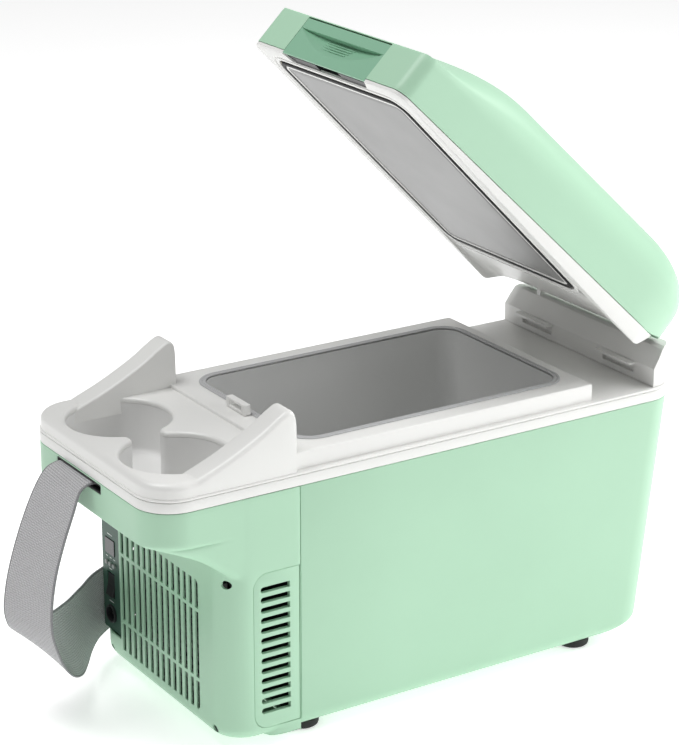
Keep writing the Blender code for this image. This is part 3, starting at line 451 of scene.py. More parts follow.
def smooth_line(points, steps):
    """A Catmull-Rom curve through the points."""
    points = [Vector(p) for p in points]
    ends = [2 * points[0] - points[1], *points, 2 * points[-1] - points[-2]]
    line = []
    for a, b, c, d in zip(ends, ends[1:], ends[2:], ends[3:]):
        for i in range(steps):
            t = i / steps
            line.append(
                0.5
                * (2 * b + (c - a) * t + (2 * a - 5 * b + 4 * c - d) * t**2 + (3 * b - a - 3 * c + d) * t**3)
            )
    return line + [points[-1]]


# --- green shells --------------------------------------------------------

# The band's underside, rising as it comes forward from the casing's front: (0, y, z).
UNDERSIDE = smooth_line(
    [(0, -30, 112), (0, -42, 121), (0, -45.5, 129), (0, -49.5, 140), (0, -57, 149.5), (0, -72.6, 162.2),
     (0, -90, 174), (0, -107, 182), (0, -120.5, 186.2), (0, -136, 188.6), (0, -160, 193)], 6
)
UNDER_Z = np.array([p.z for p in UNDERSIDE])
UNDER_Y = np.array([p.y for p in UNDERSIDE])


def rounded_box(x, y, half, front, radius):
    """Signed distance across the plan of a block that runs back from `front` without end."""
    dx = np.abs(x) - (half - radius)
    dy = (front + radius) - y
    outside = np.hypot(np.maximum(dx, 0), np.maximum(dy, 0))
    return outside + np.minimum(np.maximum(dx, dy), 0) - radius


def soft_min(a, b, k):
    h = np.clip(0.5 + 0.5 * (b - a) / k, 0, 1)
    return b + (a - b) * h - k * h * (1 - h)


def casing_distance(x, y, z):
    """Distance to the casing's outside: a lower body and the band that overhangs it."""
    rise = np.clip((z - FOOT_H) / EDGE_R, 0, 1)
    pull = EDGE_R * (1 - np.sqrt(1 - (1 - rise) ** 2))
    lower = rounded_box(x, y, HALF_W - pull, PANEL_Y + pull, BODY_R)
    band = rounded_box(x, y, HALF_W, FRONT_Y, BAND_R)
    edge = np.interp(z, UNDER_Z, UNDER_Y)
    slant = np.gradient(UNDER_Y, UNDER_Z)
    slope = (edge - y) / np.sqrt(1 + np.interp(z, UNDER_Z, slant) ** 2)
    soft = 1.6 + 10.0 * np.clip((np.abs(x) - 78) / 30, 0, 1) ** 1.5
    over = -soft_min(-band, -slope, soft)  # inside the band and above its underside, blended
    return soft_min(lower, over, 1.0)


def casing_body():
    """The casing's skin, found level by level along rays from the middle of its seam."""
    centre_y = -GAP
    aims = [(HALF_W, -GAP)]
    aims += [(HALF_W, y) for y in np.linspace(-5, -96, 24)]
    aims += arc(HALF_W - BAND_R, FRONT_Y + BAND_R, BAND_R, 0, -90, 20)
    aims += arc(HALF_W - BODY_R, PANEL_Y + BODY_R, BODY_R, 0, -90, 20)
    aims += [(x, FRONT_Y) for x in np.linspace(74, 0, 20)]
    angles = sorted({round(math.atan2(y - centre_y, x), 5) for x, y in aims})
    angles = sorted(set(angles) | {round(-math.pi - a, 5) for a in angles})
    turn = np.array(angles)
    levels = [FOOT_H + rise for rise, _ in quarter(EDGE_R, EDGE_R, 9)]
    levels += [*np.linspace(26, 114, 12), *np.arange(117, 196, 1.3), *np.linspace(198, SEAM_Z, 5)]
    rows = []
    for z in levels:
        near, far = np.zeros_like(turn), np.full_like(turn, 260.0)  # inside, and well outside
        for _ in range(40):
            mid = (near + far) / 2
            inside = casing_distance(mid * np.cos(turn), centre_y + mid * np.sin(turn), z) < 0
            near, far = np.where(inside, mid, near), np.where(inside, far, mid)
        rows.append([(r * math.cos(a), centre_y + r * math.sin(a), z) for r, a in zip(near, turn)])
    bm = loft(rows, caps=False, closed=False)
    bmesh.ops.remove_doubles(bm, verts=bm.verts, dist=WELD)
    bottom = [v for v in bm.verts if abs(v.co.z - FOOT_H) < WELD]
    bottom.sort(key=lambda v: math.atan2(v.co.y - centre_y - 1e-3, v.co.x))
    bm.faces.new(bottom)
    return bm


def thicken(obj, thickness, edge=0.0):
    """Give a skin its wall, inwards, and round the wall's open edges."""
    step = obj.modifiers.new("wall", "SOLIDIFY")
    step.thickness = thickness * MM
    step.offset = -1.0
    step.use_even_offset = False
    if edge:
        step = obj.modifiers.new("edge", "BEVEL")
        step.width = edge * MM
        step.segments = 3
        step.limit_method = "ANGLE"
        step.angle_limit = math.radians(55)
        step.use_clamp_overlap = False
    settle(obj)


CASING_WALL, SHELL_WALL, LID_WALL = 1.5, 3.0, 2.4
SLOT_X, SLOT_Z = (-53.0, 22.0), (208.5, 217.0)
CONTROL_X, CONTROL_Z = (-104.3, -69.7), (31.7, 132.3)
VENT_Y, VENT_Z, VENT_R = (-43.4, -0.9), (17.5, 152.4), 13.0
VENT_SLOTS, VENT_SLOT_Y, VENT_SLOT_HALF, VENT_LOW, VENT_PITCH = 13, (-36.5, -9.9), 2.5, 33.0, 8.75
GRILLE_X, GRILLE_SLOTS, GRILLE_SLOT_HALF = (-68.5, 66.5), 14, 2.6
GRILLE_ROWS = ((24.0, 49.0), (52.0, 110.0), (113.0, 137.5))
SCREW_HOLE_R = 3.6
SCREW_SPOTS = [(side * x, z) for side in (-1, 1) for x, z in ((99.5, 146.0), (87.0, 17.5))]


def grille_slots():
    """Upright slots in three rows; the last column's outer corners are rounder."""
    pitch = (GRILLE_X[1] - GRILLE_X[0]) / GRILLE_SLOTS
    small, big = 0.8, 4.0
    slots = []
    for i in range(GRILLE_SLOTS):
        x = GRILLE_X[0] + pitch * (i + 0.5)
        last = i == GRILLE_SLOTS - 1
        for k, (z0, z1) in enumerate(GRILLE_ROWS):
            low = big if last and k == 0 else small
            high = big if last and k == 2 else small
            loop = rounded(x - GRILLE_SLOT_HALF, x + GRILLE_SLOT_HALF, z0, z1, (small, low, high, small), 4)
            slots.append(prism(loop, -80, -58, "Y"))
    return slots


def make_casing():
    casing = raw("front_casing_look", casing_body(), CABINET)
    thicken(casing, CASING_WALL, 0.5)
    holes = grille_slots()
    holes.append(prism(rounded(*SLOT_X, *SLOT_Z, 1.5, 4), FRONT_Y - 5, FRONT_Y + 9, "Y"))
    for side in (-1, 1):
        panel = rounded(*VENT_Y, *VENT_Z, (VENT_R, 0.5, 0.5, VENT_R), 8)
        holes.append(prism(panel, side * 104.0, side * 112.0, "X"))
    holes.append(prism(rounded(*CONTROL_X, *CONTROL_Z, 2.0, 4), -80, -52, "Y"))
    for x, z in SCREW_SPOTS:
        holes.append(turned([(SCREW_HOLE_R, -12), (SCREW_HOLE_R, 20)], (x, PANEL_Y, z), "Y", 28))
    carve(casing, holes, CABINET)
    finish(casing, MINT, "cabinet", ["front_casing"], angle=30)


def make_side_vents():
    for side, word in ((-1, "left"), (1, "right")):
        rows = []
        for out, pull in ((-4.0, 0.0), (-0.5, 0.0), (-0.15, 0.15), (0.0, 0.5)):
            inset = GAP + pull
            loop = rounded(
                VENT_Y[0] + inset, VENT_Y[1] - inset, VENT_Z[0] + inset, VENT_Z[1] - inset,
                (VENT_R - GAP, 0.8, 0.8, VENT_R - GAP), 8,
            )
            rows.append(at(loop, side * (HALF_W + out), "X"))
        panel = raw(f"side_vent_{word}_look", loft(rows), CABINET)
        slots = []
        for i in range(VENT_SLOTS):
            z = VENT_LOW + VENT_PITCH * i
            loop = rounded(*VENT_SLOT_Y, z - VENT_SLOT_HALF, z + VENT_SLOT_HALF, (2.2, 0.4, 0.4, 2.2), 5)
            slots.append(prism(loop, side * (HALF_W - 9), side * (HALF_W + 5), "X"))
        carve(panel, slots, CABINET)
        finish(panel, MINT, "cabinet", [f"side_vent_panel_{word}"], bevel=0.25)


def make_shell():
    """The tub behind the seam; its rear wall leans in towards the foot."""
    rear_lean, rear_tuck = 26.0, 2.2
    levels = [(FOOT_H + rise, pull) for rise, pull in quarter(EDGE_R, EDGE_R, 9)]
    levels += [(60, 0.0), (110, 0.0), (165, 0.0), (SEAM_Z, 0.0)]
    rows = []
    for z, pull in levels:
        low = max(0.0, 1 - (z - FOOT_H) / (SEAM_Z - FOOT_H))
        rear = REAR_Y - rear_lean * low - pull * rear_tuck
        half = HALF_W - pull
        side = [(half, GAP), (half, 90), (half, 180), (half, 260)]
        loop = side + arc(half - REAR_R, rear - REAR_R, REAR_R, 0, 90, 14)
        loop = loop + [(-x, y) for x, y in reversed(loop)]
        rows.append(at(loop, z))
    bm = loft(rows, caps=False, closed=False)
    bm.verts.ensure_lookup_table()
    bm.faces.new([bm.verts[i] for i in range(len(rows[0]))])
    shell = raw("main_shell_look", bm, CABINET)
    thicken(shell, SHELL_WALL, 0.6)
    strap_slot = box(-70.0, -56.0, 355.0, 388.0, 148.0, 216.0)
    carve(shell, [strap_slot], CABINET)
    finish(shell, MINT, "cabinet", ["main_shell"], angle=30)


# --- white top -----------------------------------------------------------


def plan(inset):
    """The cabinet's outline seen from above, moved inwards."""
    front, rear = BAND_R - inset, REAR_R - inset
    return rounded(
        -HALF_W + inset, HALF_W - inset, FRONT_Y + inset, REAR_Y - inset, (front, front, rear, rear), 14
    )


def mouth(grow, corner):
    """The compartment's outline seen from above, moved outwards."""
    return rounded(-LINER_X - grow, LINER_X + grow, LINER_Y0 - grow, LINER_Y1 + grow, corner, 12)


def make_rim():
    low, wall = SEAM_Z + GAP, 7.0
    section = (
        (0.7, low), (0.2, SEAM_Z + 0.5), (0.0, SEAM_Z + 1.0), (0.0, RIM_TOP - 0.8), (0.2, RIM_TOP - 0.3),
        (0.8, RIM_TOP), (wall, RIM_TOP), (wall, low),
    )
    rim = raw("rim_band_look", loft([at(plan(p), z) for p, z in section], rings=True), CABINET)
    finish(rim, WHITE, "cabinet", ["rim_band"])


def cup_outline(offset=0.0):
    """The two joined cups seen from above, moved outwards; the passage's horns are rounded."""
    bend = HORN_R - offset
    radius = CUP_R + offset
    rise = PASSAGE + HORN_R
    across = math.sqrt((CUP_R + HORN_R) ** 2 - rise**2)
    turn = math.degrees(math.atan2(rise, across))
    gap = CUP_X - across
    return (
        arc(CUP_X, CUP_Y, radius, -180 + turn, 180 - turn, 56)
        + arc(gap, CUP_Y + rise, bend, -turn, -90, 7)
        + arc(-gap, CUP_Y + rise, bend, -90, -180 + turn, 7)
        + arc(-CUP_X, CUP_Y, radius, turn, 360 - turn, 56)
        + arc(-gap, CUP_Y - rise, bend, 180 - turn, 90, 7)
        + arc(gap, CUP_Y - rise, bend, 90, turn, 7)
    )


# The cheeks' top as it rises from the deck to the collar: (0, y, z).
CHEEK = smooth_line(
    [(0, -104, 236.5), (0, -96, 239.0), (0, -84, 243.2), (0, -61, 252.5), (0, -34, 266), (0, -18, 276.2),
     (0, -11.5, 280.0), (0, -8, 281.0), (0, -5, 280.2), (0, -3.2, 277.6), (0, -2.4, 272.0)], 4
)
CHEEK_IN, CHEEK_OUT, CHEEK_FOOT = 84.2, 107.55, 228.0


def cheek(side):
    """A bar along the deck's edge whose top rises to the collar, with rounded top edges."""
    inner_r, outer_r = 2.4, 4.5
    rows = []
    for p in CHEEK:
        out = CHEEK_OUT - 1.8 * max(0.0, min(1.0, (-84 - p.y) / 18))  # its front end fades into the deck
        row = [(CHEEK_IN - 1.2, CHEEK_FOOT), (CHEEK_IN, p.z - 3.0)]
        for a in (0.4, 0.8, 1.2, 1.57):
            row.append((CHEEK_IN + inner_r - inner_r * math.cos(a), p.z - inner_r + inner_r * math.sin(a)))
        for a in (0.0, 0.4, 0.8, 1.2, 1.57):
            row.append((out - outer_r + outer_r * math.sin(a), p.z - outer_r + outer_r * math.cos(a)))
        row.append((out, CHEEK_FOOT))
        rows.append([(side * x, p.y, z) for x, z in row])
    return loft(rows)


def deck_body():
    """The deck in front of the collar, with a wide round edge."""

    def outline(pull):
        corner = BAND_R - 1.0 - pull
        half = HALF_W - 1.0 - pull
        return rounded(-half, half, FRONT_Y + 1.0 + pull, -2.5, (corner, corner, 0.5, 0.5), 14)

    rows = [at(outline(0.0), FLOOR_Z - 1)]
    rows += [at(outline(pull), DECK_Z - drop) for pull, drop in quarter(6.5, 5.5, 8)]
    return loft(rows)


def ledge_body():
    """The raised ledge that the lid's seal rests on."""

    def outline(pull):
        return rounded(-104 + pull, 104 - pull, -8.0 + pull, COLLAR_END - pull, 1.5, 4)

    rows = [at(outline(0.0), FLOOR_Z - 1)]
    rows += [at(outline(pull), LEDGE_Z - drop) for pull, drop in quarter(1.3, 1.3, 4)]
    return loft(rows)


def cup_cutters():
    """The wells' mouth with its flared lip, and room for the tray's flange below it."""
    lip = 2.6
    flare = [(0.0, 200.0), (0.0, DECK_Z - lip)]
    flare += [
        (lip * (1 - math.cos(a)), DECK_Z - lip + lip * math.sin(a)) for a in (0.3, 0.6, 0.9, 1.2, 1.45)
    ]
    flare += [(lip, DECK_Z + 0.2), (lip, 300.0)]
    tray_room = loft([at(cup_outline(2.3), 200), at(cup_outline(2.3), DECK_Z - 4)])
    return [loft([at(cup_outline(p), z) for p, z in flare]), tray_room]


def mouth_cutter():
    rows = []
    for grow, z in (
        (2.3, 200.0), (2.3, LEDGE_Z - 1.0), (2.6, LEDGE_Z - 0.4), (3.3, LEDGE_Z + 0.02), (3.3, 300.0)
    ):
        rows.append(at(mouth(grow, LINER_R + grow), z))
    return loft(rows)


def make_cover():
    slab = (
        (0.7, RIM_TOP + GAP), (0.2, RIM_TOP + 0.5), (0.0, RIM_TOP + 1.0), (0.0, RIM_TOP + 1.6),
        (0.35, RIM_TOP + 2.3), (1.2, FLOOR_Z),
    )
    cover = raw("top_cover_look", loft([at(plan(p), z) for p, z in slab]), CABINET)
    join(cover, [deck_body()], CABINET)
    join(cover, cup_cutters(), CABINET, "DIFFERENCE")
    join(cover, [ledge_body(), cheek(-1), cheek(1)], CABINET)
    join(cover, [mouth_cutter()], CABINET, "DIFFERENCE")
    finish(cover, WHITE, "cabinet", ["top_cover"], angle=26)


def make_cups():
    bend, wall, top = 5.5, 2.0, 237.2
    rows = []
    for a in (0.0, 0.3, 0.6, 0.9, 1.2, 1.57):
        rows.append(at(cup_outline(-(bend - bend * math.sin(a))), CUP_FLOOR + bend - bend * math.cos(a)))
    rows += [at(cup_outline(0.0), top), at(cup_outline(wall), top), at(cup_outline(wall), CUP_FLOOR - 2.3)]
    tray = raw("cup_tray_look", loft(rows), CABINET)
    finish(tray, WHITE_CUP, "cabinet", ["cup_tray"], angle=40)


def make_liner():
    """The tub narrows towards its floor; a ring with a raised bead trims its mouth."""
    bend, taper = 12, 7.0
    levels = []
    for a in (0, 0.25, 0.5, 0.75, 1.0, 1.25, 1.57):
        levels.append((LINER_FLOOR + bend * (1 - math.cos(a)), bend * (1 - math.sin(a))))
    rows = []
    for z, pull in levels + [(150.0, 0.0), (LINER_TOP, 0.0)]:
        lean = taper * (1 - (z - LINER_FLOOR) / (LINER_TOP - LINER_FLOOR))
        rows.append(at(mouth(-(pull + lean), LINER_R), z))
    for grow, z in ((2.0, LINER_TOP), (2.0, 150.0), (-9.0, LINER_FLOOR - 2.0)):
        rows.append(at(mouth(grow, LINER_R + 2), z))
    liner = raw("liner_look", loft(rows), CABINET)
    finish(liner, LINER_GREY, "cabinet", ["liner"], angle=40)
    section = (
        (0.2, 244.6), (0.3, 245.1), (0.9, 245.3), (2.2, 245.3), (2.6, 244.9),
        (3.4, 244.9), (3.8, 245.25), (5.4, 245.25), (6.0, 244.6),
    )
    rows = [at(mouth(grow, LINER_R + grow), z) for grow, z in section]
    trim = raw("liner_trim_look", loft(rows, rings=True), CABINET)
    finish(trim, TRIM_GREY, "cabinet", ["liner_trim"], angle=25)


# --- lid (drawn shut) ----------------------------------------------------

SEAM_FRONT, SEAM_REAR, PAN_REAR, TAIL_Z = LID_Z + 3.4, LID_Z + 15.5, 342.0, 268.8
REAR_BEND, CORNER_PULL, FRONT_R, NOSE_R = 318.0, 24.0, 12.0, 2.5
CREASE_H, DOME_H, DOME_RUN = 37.5, 38.0, 130.0
LATCH_DEPTH = 12.1


def ease(t):
    t = max(0.0, min(1.0, t))
    return t * t * (3 - 2 * t)


def seam_z(y):
    """The line between shell and pan, which climbs towards the rear."""
    return SEAM_FRONT + (SEAM_REAR - SEAM_FRONT) * max(0.0, min(1.0, y / PAN_REAR))


def lid_bottom(y):
    """The shell's lower edge: the seam, then a quicker rise to the tail."""
    if y <= PAN_REAR:
        return seam_z(y)
    return seam_z(PAN_REAR) + (TAIL_Z - seam_z(PAN_REAR)) * ease((y - PAN_REAR) / (LID_REAR_Y - PAN_REAR))


def lid_heights(y):
    """Where the sides turn into the dome, and the dome's top."""
    crease = seam_z(y) + CREASE_H - 1.6 * (1 - y / PAN_REAR)
    rise = DOME_H * math.sin(math.pi / 2 * min(1.0, max(0.0, (y - 2) / DOME_RUN))) ** 1.25
    return crease, crease + rise


def lid_half(y):
    """Half the lid's width: rounded corners at the front, pulled in round the rear."""
    if y < FRONT_R:
        return LID_HALF - FRONT_R + math.sqrt(max(0.0, FRONT_R**2 - (FRONT_R - y) ** 2))
    if y > REAR_BEND:
        t = (y - REAR_BEND) / (LID_REAR_Y - REAR_BEND)
        return LID_HALF - CORNER_PULL * (1 - math.sqrt(max(0.0, 1 - t * t)))
    return LID_HALF


def lid_section(y):
    """One cross-section of the shell, from its right edge over the dome to its left edge."""
    crease, top = lid_heights(min(y, REAR_BEND))
    half = lid_half(y)
    if y > REAR_BEND:
        t = (y - REAR_BEND) / (LID_REAR_Y - REAR_BEND)
        drop = 1 - math.sqrt(max(0.0, 1 - t * t))
        crease -= 14 * drop
        top -= 24 * drop
    front_edge = NOSE_R - math.sqrt(max(0.0, NOSE_R**2 - max(0.0, NOSE_R - y) ** 2))
    crease -= front_edge
    top -= front_edge
    low = lid_bottom(y)
    side = [(half - 0.5, low), (half, low + 0.6)]
    side += [(half, low + (crease - 3 - low) * t) for t in (0.15, 0.35, 0.55, 0.75, 0.9, 1.0)]
    crown = []
    n = 22
    for i in range(1, 2 * n):
        a = math.pi * i / (2 * n)
        c, s = math.cos(a), math.sin(a)
        crown.append(((half - 0.6) * math.copysign(abs(c) ** 0.62, c), crease + (top - crease) * s))
    return [(x, y, z) for x, z in side + crown + [(-x, z) for x, z in reversed(side)]]


def make_lid_shell():
    stations = [step for step, _ in quarter(NOSE_R, NOSE_R, 5)]
    stations += [FRONT_R * (1 - math.cos(math.pi / 2 * t)) for t in (0.5, 0.6, 0.7, 0.8, 0.9, 1.0)]
    stations = sorted(set(stations) | set(np.linspace(16, REAR_BEND, 60)))
    stations += [REAR_BEND + (LID_REAR_Y - REAR_BEND) * math.sin(math.pi / 2 * i / 18) for i in range(1, 19)]
    bm = loft([lid_section(y) for y in stations], caps=False, closed=False)
    bm.verts.ensure_lookup_table()
    count = len(lid_section(10.0))
    bm.faces.new([bm.verts[i] for i in reversed(range(count))])
    last = len(bm.verts) - count
    bm.faces.new([bm.verts[last + i] for i in range(count)])
    shell = raw("lid_shell_look", bm, LID)
    thicken(shell, LID_WALL)
    notches = [box(-LATCH_HALF - GAP, LATCH_HALF + GAP, -5, 13, 236, LID_Z + LID_FRONT_H + 0.3)]
    notches += [box(side * 70 - 4, side * 70 + 4, 360, 390, 250, 290) for side in (-1, 1)]
    carve(shell, notches, LID)
    finish(shell, MINT_LID, "lid", ["lid_shell"], angle=24)


def pan_loop(inset, level):
    """The pan's outline at an inset, each point at the height that `level` gives for its y."""
    loop = rounded(
        -LID_HALF + GAP + inset, LID_HALF - GAP - inset, GAP + inset, 366.0 - inset,
        (FRONT_R - inset, FRONT_R - inset, 30 - inset, 30 - inset), 12,
    )
    return [(x, y, level(y)) for x, y in loop]


def pan_bottom(y):
    """The pan's underside: flat, then up round the hinge."""
    rising = [lid_bottom(place) - drop for place, drop in ((353.0, 5), (362.0, 3.2), (366.0, 2.8))]
    return float(np.interp(y, (0, 340, 344, 353, 362, 366), (LID_Z, LID_Z, LID_Z + 1.5, *rising)))


def gasket_loop(shrink, z):
    """The seal's outline, moved inwards, at one level."""
    corner = max(2.0, 16 - shrink)
    x, y0, y1 = GASKET_X - shrink, GASKET_Y0 + shrink, GASKET_Y1 - shrink
    return at(rounded(-x, x, y0, y1, corner, 12), z)


def make_pan():
    """The lid's white underside: a ring round the inner panel, with a groove outside the seal."""
    rows = [gasket_loop(0.0, LID_Z + 2.2), gasket_loop(0.0, LID_Z + 0.5), gasket_loop(-0.5, LID_Z)]
    for grow, z in ((3.2, 0.0), (3.4, 0.7), (5.2, 0.7), (5.6, 0.0)):
        rows.append(gasket_loop(-grow, LID_Z + z))
    for inset, lift in ((1.2, 0.0), (0.3, 0.35), (0.0, 1.2)):
        rows.append(pan_loop(inset, lambda y: pan_bottom(y) + lift))
    for inset, drop in ((0.0, 0.6), (0.6, GAP), (4.0, GAP)):
        rows.append(pan_loop(inset, lambda y: lid_bottom(y) - drop))
    pan = raw("lid_pan_look", loft(rows, rings=True), LID)
    half = LATCH_HALF + GAP
    notch = [
        (-half, -5), (half, -5), (half, 2.0), (LATCH_HALF - 7, LATCH_DEPTH), (-LATCH_HALF + 7, LATCH_DEPTH),
        (-half, 2.0),
    ]
    ears = [box(side * 70.2 - 3.9, side * 70.2 + 3.9, 350, 390, 240, 290) for side in (-1, 1)]
    carve(pan, [prism(notch, 236, 262)] + ears, LID)
    finish(pan, WHITE, "lid", ["lid_pan"], angle=28)


def make_hinge_barrel():
    profile = [(5.0, -66.0), (6.0, -65.4), (6.5, -64.5), (6.5, 64.5), (6.0, 65.4), (5.0, 66.0)]
    barrel = raw("lid_hinge_barrel", turned(profile, (0, HINGE_Y, HINGE_Z), "X", 36), LID)
    arm = [
        (350.0, TAIL_Z - 8.0), (358.0, TAIL_Z - 4), (HINGE_Y - 1, HINGE_Z - 5.8), (HINGE_Y, HINGE_Z + 5.8),
        (350.0, HINGE_Z + 2),
    ]
    join(barrel, [prism(arm, -65.5, 65.5, "X")], LID)
    finish(barrel, WHITE, "lid", [])


def make_slot_shade_block():
    """A black block at the back of the latch's slot, painted shade for the slot's depth, cut out in the
    middle for the catch.
    """
    floor = prism(rounded(-LATCH_HALF, LATCH_HALF, 4.5, 13.5, 0.5, 2), LID_Z + 1.5, LID_Z + 12)
    slot_shade = raw("latch_slot_painted_shade", floor, LID)
    carve(slot_shade, [box(-16.5, 16.5, 3.5, 12.4, 240, 255.0)], LID)
    finish(slot_shade, BLACK, "lid", [], bevel=0.3)


def make_seal():
    section = (
        (2.5, 1.9), (2.5, 0.3), (2.9, -0.2), (3.6, -0.48), (5.4, -0.48), (6.1, -0.2), (6.5, 0.3), (6.5, 1.9)
    )
    rows = [gasket_loop(shrink, LID_Z + z) for shrink, z in section]
    seal = raw("lid_gasket_look", loft(rows, rings=True), LID)
    finish(seal, SEAL, "lid", ["lid_gasket"])


def make_inner_panel():
    section = ((7.0, 1.9), (7.0, 0.3), (7.4, 0.0), (9.2, 0.0), (9.6, 0.3), (9.6, 1.9))
    rows = [gasket_loop(shrink, LID_Z + z) for shrink, z in section]
    finish(raw("inner_panel_edge", loft(rows, rings=True), LID), WHITE, "lid", [])
    section = ((9.8, 2.0), (9.8, 0.9), (10.6, 0.45), (16.0, 0.4))
    panel = raw("lid_inner_panel_look", loft([gasket_loop(shrink, LID_Z + z) for shrink, z in section]), LID)
    finish(panel, PANEL_GREY, "lid", ["lid_inner_panel"])


def latch_front(x, z, strip, sag):
    """How far the lever's face is scooped back at a point."""
    arch = max(0.0, 1 - (x / (LATCH_HALF - 1)) ** 2)
    depth = sag * arch
    if depth < 0.05 or not strip - depth < z < strip:
        return 0.0
    t = (z - (strip - depth)) / depth
    return 7.5 * arch**0.6 * t**0.9


def latch_sheet(levels, strip, sag):
    """The lever's face, with its normals towards the lid's front."""
    xs = np.linspace(-LATCH_HALF, LATCH_HALF, 97)
    rows = [[(x, LATCH_Y + latch_front(x, z, strip, sag), z) for x in xs] for z in levels]
    lever = raw("latch_lever_look", loft(rows, caps=False, closed=False), LID)
    bm = bmesh.new()
    bm.from_mesh(lever.data)
    toward = LID.to_3x3() @ Vector((0, -1, 0))
    if sum(f.normal.dot(toward) for f in bm.faces) < 0:
        bmesh.ops.reverse_faces(bm, faces=bm.faces)
    bm.to_mesh(lever.data)
    bm.free()
    return lever


def make_latch():
    """The lever with its scooped finger hold, four ribs, two pivot barrels and the hook."""

    def detail(name, bm, bevel=0.0):
        finish(raw(name, bm, LID), LATCH_GREEN, "latch", [], bevel=bevel)

    z0, z1 = LID_Z + 1.0, LID_Z + LID_FRONT_H - 1.2
    strip, sag = z1 - 9.5, 17.0
    levels = [*np.linspace(z0, strip - 0.15, 40), strip, *np.linspace(strip + 0.3, z1, 5)]
    lever = latch_sheet(levels, strip, sag)
    thicken(lever, 1.8)
    finish(lever, LATCH_GREEN, "latch", ["latch_lever"], angle=26)
    for k in range(4):
        z = strip - 3.2 - 2.6 * k
        wide = 21.0 - 1.2 * k
        y = LATCH_Y + latch_front(0, z, strip, sag)
        detail(
            f"latch_rib_{k + 1}",
            soft_box(-wide - 4, wide - 4, y - 1.2, y + 1.0, z - 0.55, z + 0.55, 0.3, 0.5),
        )
    pivot = (0, 6.0, z1 - 5.0)
    profile = [(1.9, -45), (2.9, -45), (3.4, -44.4), (3.4, -10.4), (2.9, -10), (1.9, -10)]
    for side, word in ((1, "left"), (-1, "right")):
        detail(f"latch_barrel_{word}", turned([(r, side * h) for r, h in profile], pivot, "X", 28))
    hook = [(2.0, 2.0), (4.6, 2.0), (4.9, 2.6), (4.3, 4.2), (2.0, 4.2)]
    detail("latch_hook", prism([(y, LID_Z + z) for y, z in hook], -8, 8, "X"), 0.2)


# --- strap, feet and small parts -----------------------------------------

STRAP_T, STRAP_W = 1.8, 58.0
STRAP_ROUTE = [  # the webbing's middle, and the direction that its width lies in
    ((-21.5, -124.0, 213.0), (1, 0, 0)),
    ((-21.5, -131.0, 213.0), (1, 0, 0)),
    ((-22.0, -140.0, 207.5), (1, 0.05, 0)),
    ((-22.5, -148.0, 192.0), (1, 0.13, 0)),
    ((-23.5, -158.0, 167.0), (1, 0.17, 0)),
    ((-23.5, -167.0, 140.0), (1, 0.2, 0)),
    ((-23.5, -172.5, 114.0), (1, 0.24, -0.05)),
    ((-24.5, -173.0, 91.0), (1, 0.3, -0.1)),
    ((-29.0, -165.0, 70.0), (1, 0.36, -0.25)),
    ((-39.0, -149.0, 56.0), (1, 0.3, -0.6)),
    ((-53.0, -130.0, 49.0), (0.7, 0.15, -0.8)),
    ((-70.0, -111.0, 47.0), (0.4, 0.05, -0.9)),
    ((-88.0, -92.0, 49.0), (0.2, 0, -1)),
    ((-105.0, -71.0, 52.0), (0.08, 0, -1)),
    ((-114.5, -45.0, 55.0), (0, 0, -1)),
    ((-116.0, 0.0, 62.0), (0, 0, -1)),
    ((-116.0, 80.0, 79.0), (0, 0, -1)),
    ((-116.0, 170.0, 105.0), (0, 0, -1)),
    ((-116.0, 260.0, 138.0), (0, 0, -1)),
    ((-115.0, 322.0, 163.0), (0, 0, -1)),
    ((-111.5, 352.0, 173.0), (0, 0, -1)),
    ((-101.0, 377.5, 179.0), (0, 0, -1)),
    ((-83.0, 387.0, 181.5), (0, 0, -1)),
    ((-70.0, 386.0, 182.0), (0, 0, -1)),
    ((-64.0, 381.0, 182.0), (0, 0, -1)),
    ((-63.0, 373.0, 182.0), (0, 0, -1)),
    ((-63.0, 366.5, 182.0), (0, 0, -1)),
]


def make_strap():
    steps = 8
    middles = smooth_line([p for p, _ in STRAP_ROUTE], steps)
    widths = smooth_line([Vector(w).normalized() for _, w in STRAP_ROUTE], steps)
    section = [(-0.5, 0.35), *((t, 0.5) for t in (-0.47, -0.3, -0.1, 0.1, 0.3, 0.47)), (0.5, 0.35)]
    section = section + [(u, -v) for u, v in reversed(section)]
    rows, lengths, total = [], [], 0.0
    for i, (p, w) in enumerate(zip(middles, widths)):
        along = (middles[min(i + 1, len(middles) - 1)] - middles[max(i - 1, 0)]).normalized()
        w = (w - along * w.dot(along)).normalized()
        n = along.cross(w).normalized()
        total += (p - middles[i - 1]).length if i else 0.0
        lengths.append(total)
        rows.append([p + w * u * STRAP_W + n * v * STRAP_T for u, v in section])
    bm = loft(rows)
    layer = bm.loops.layers.uv.new("weave")
    bm.verts.index_update()
    count = len(section)
    for face in bm.faces:
        for corner in face.loops:
            ring, step = divmod(corner.vert.index, count)
            corner[layer].uv = (section[step][0] + 0.5, lengths[ring] / total)
    bm.transform(CABINET)
    bmesh.ops.recalc_face_normals(bm, faces=bm.faces)
    strap = added("carry_strap_webbing", written("carry_strap_webbing", bm))
    finish(strap, webbing_with_painted_shade(STRAP_W, total), "cabinet", ["carry_strap"], angle=50)


def make_feet():
    profile = [
        (0.5, 0.0), (11.0, 0.0), (12.4, 0.35), (13.4, 1.2), (13.9, 2.6), (14.0, 5.0), (13.8, 7.2),
        (13.2, 7.7), (0.5, 7.7),
    ]
    for side, x in (("left", -86), ("right", 86)):
        for end, y in (("front", 14), ("rear", 290)):
            foot = raw(f"foot_{end}_{side}_look", turned(profile, (x, y, 0), "Z", 44), CABINET)
            finish(foot, RUBBER, "cabinet", [f"foot_{end}_{side}"], angle=40)


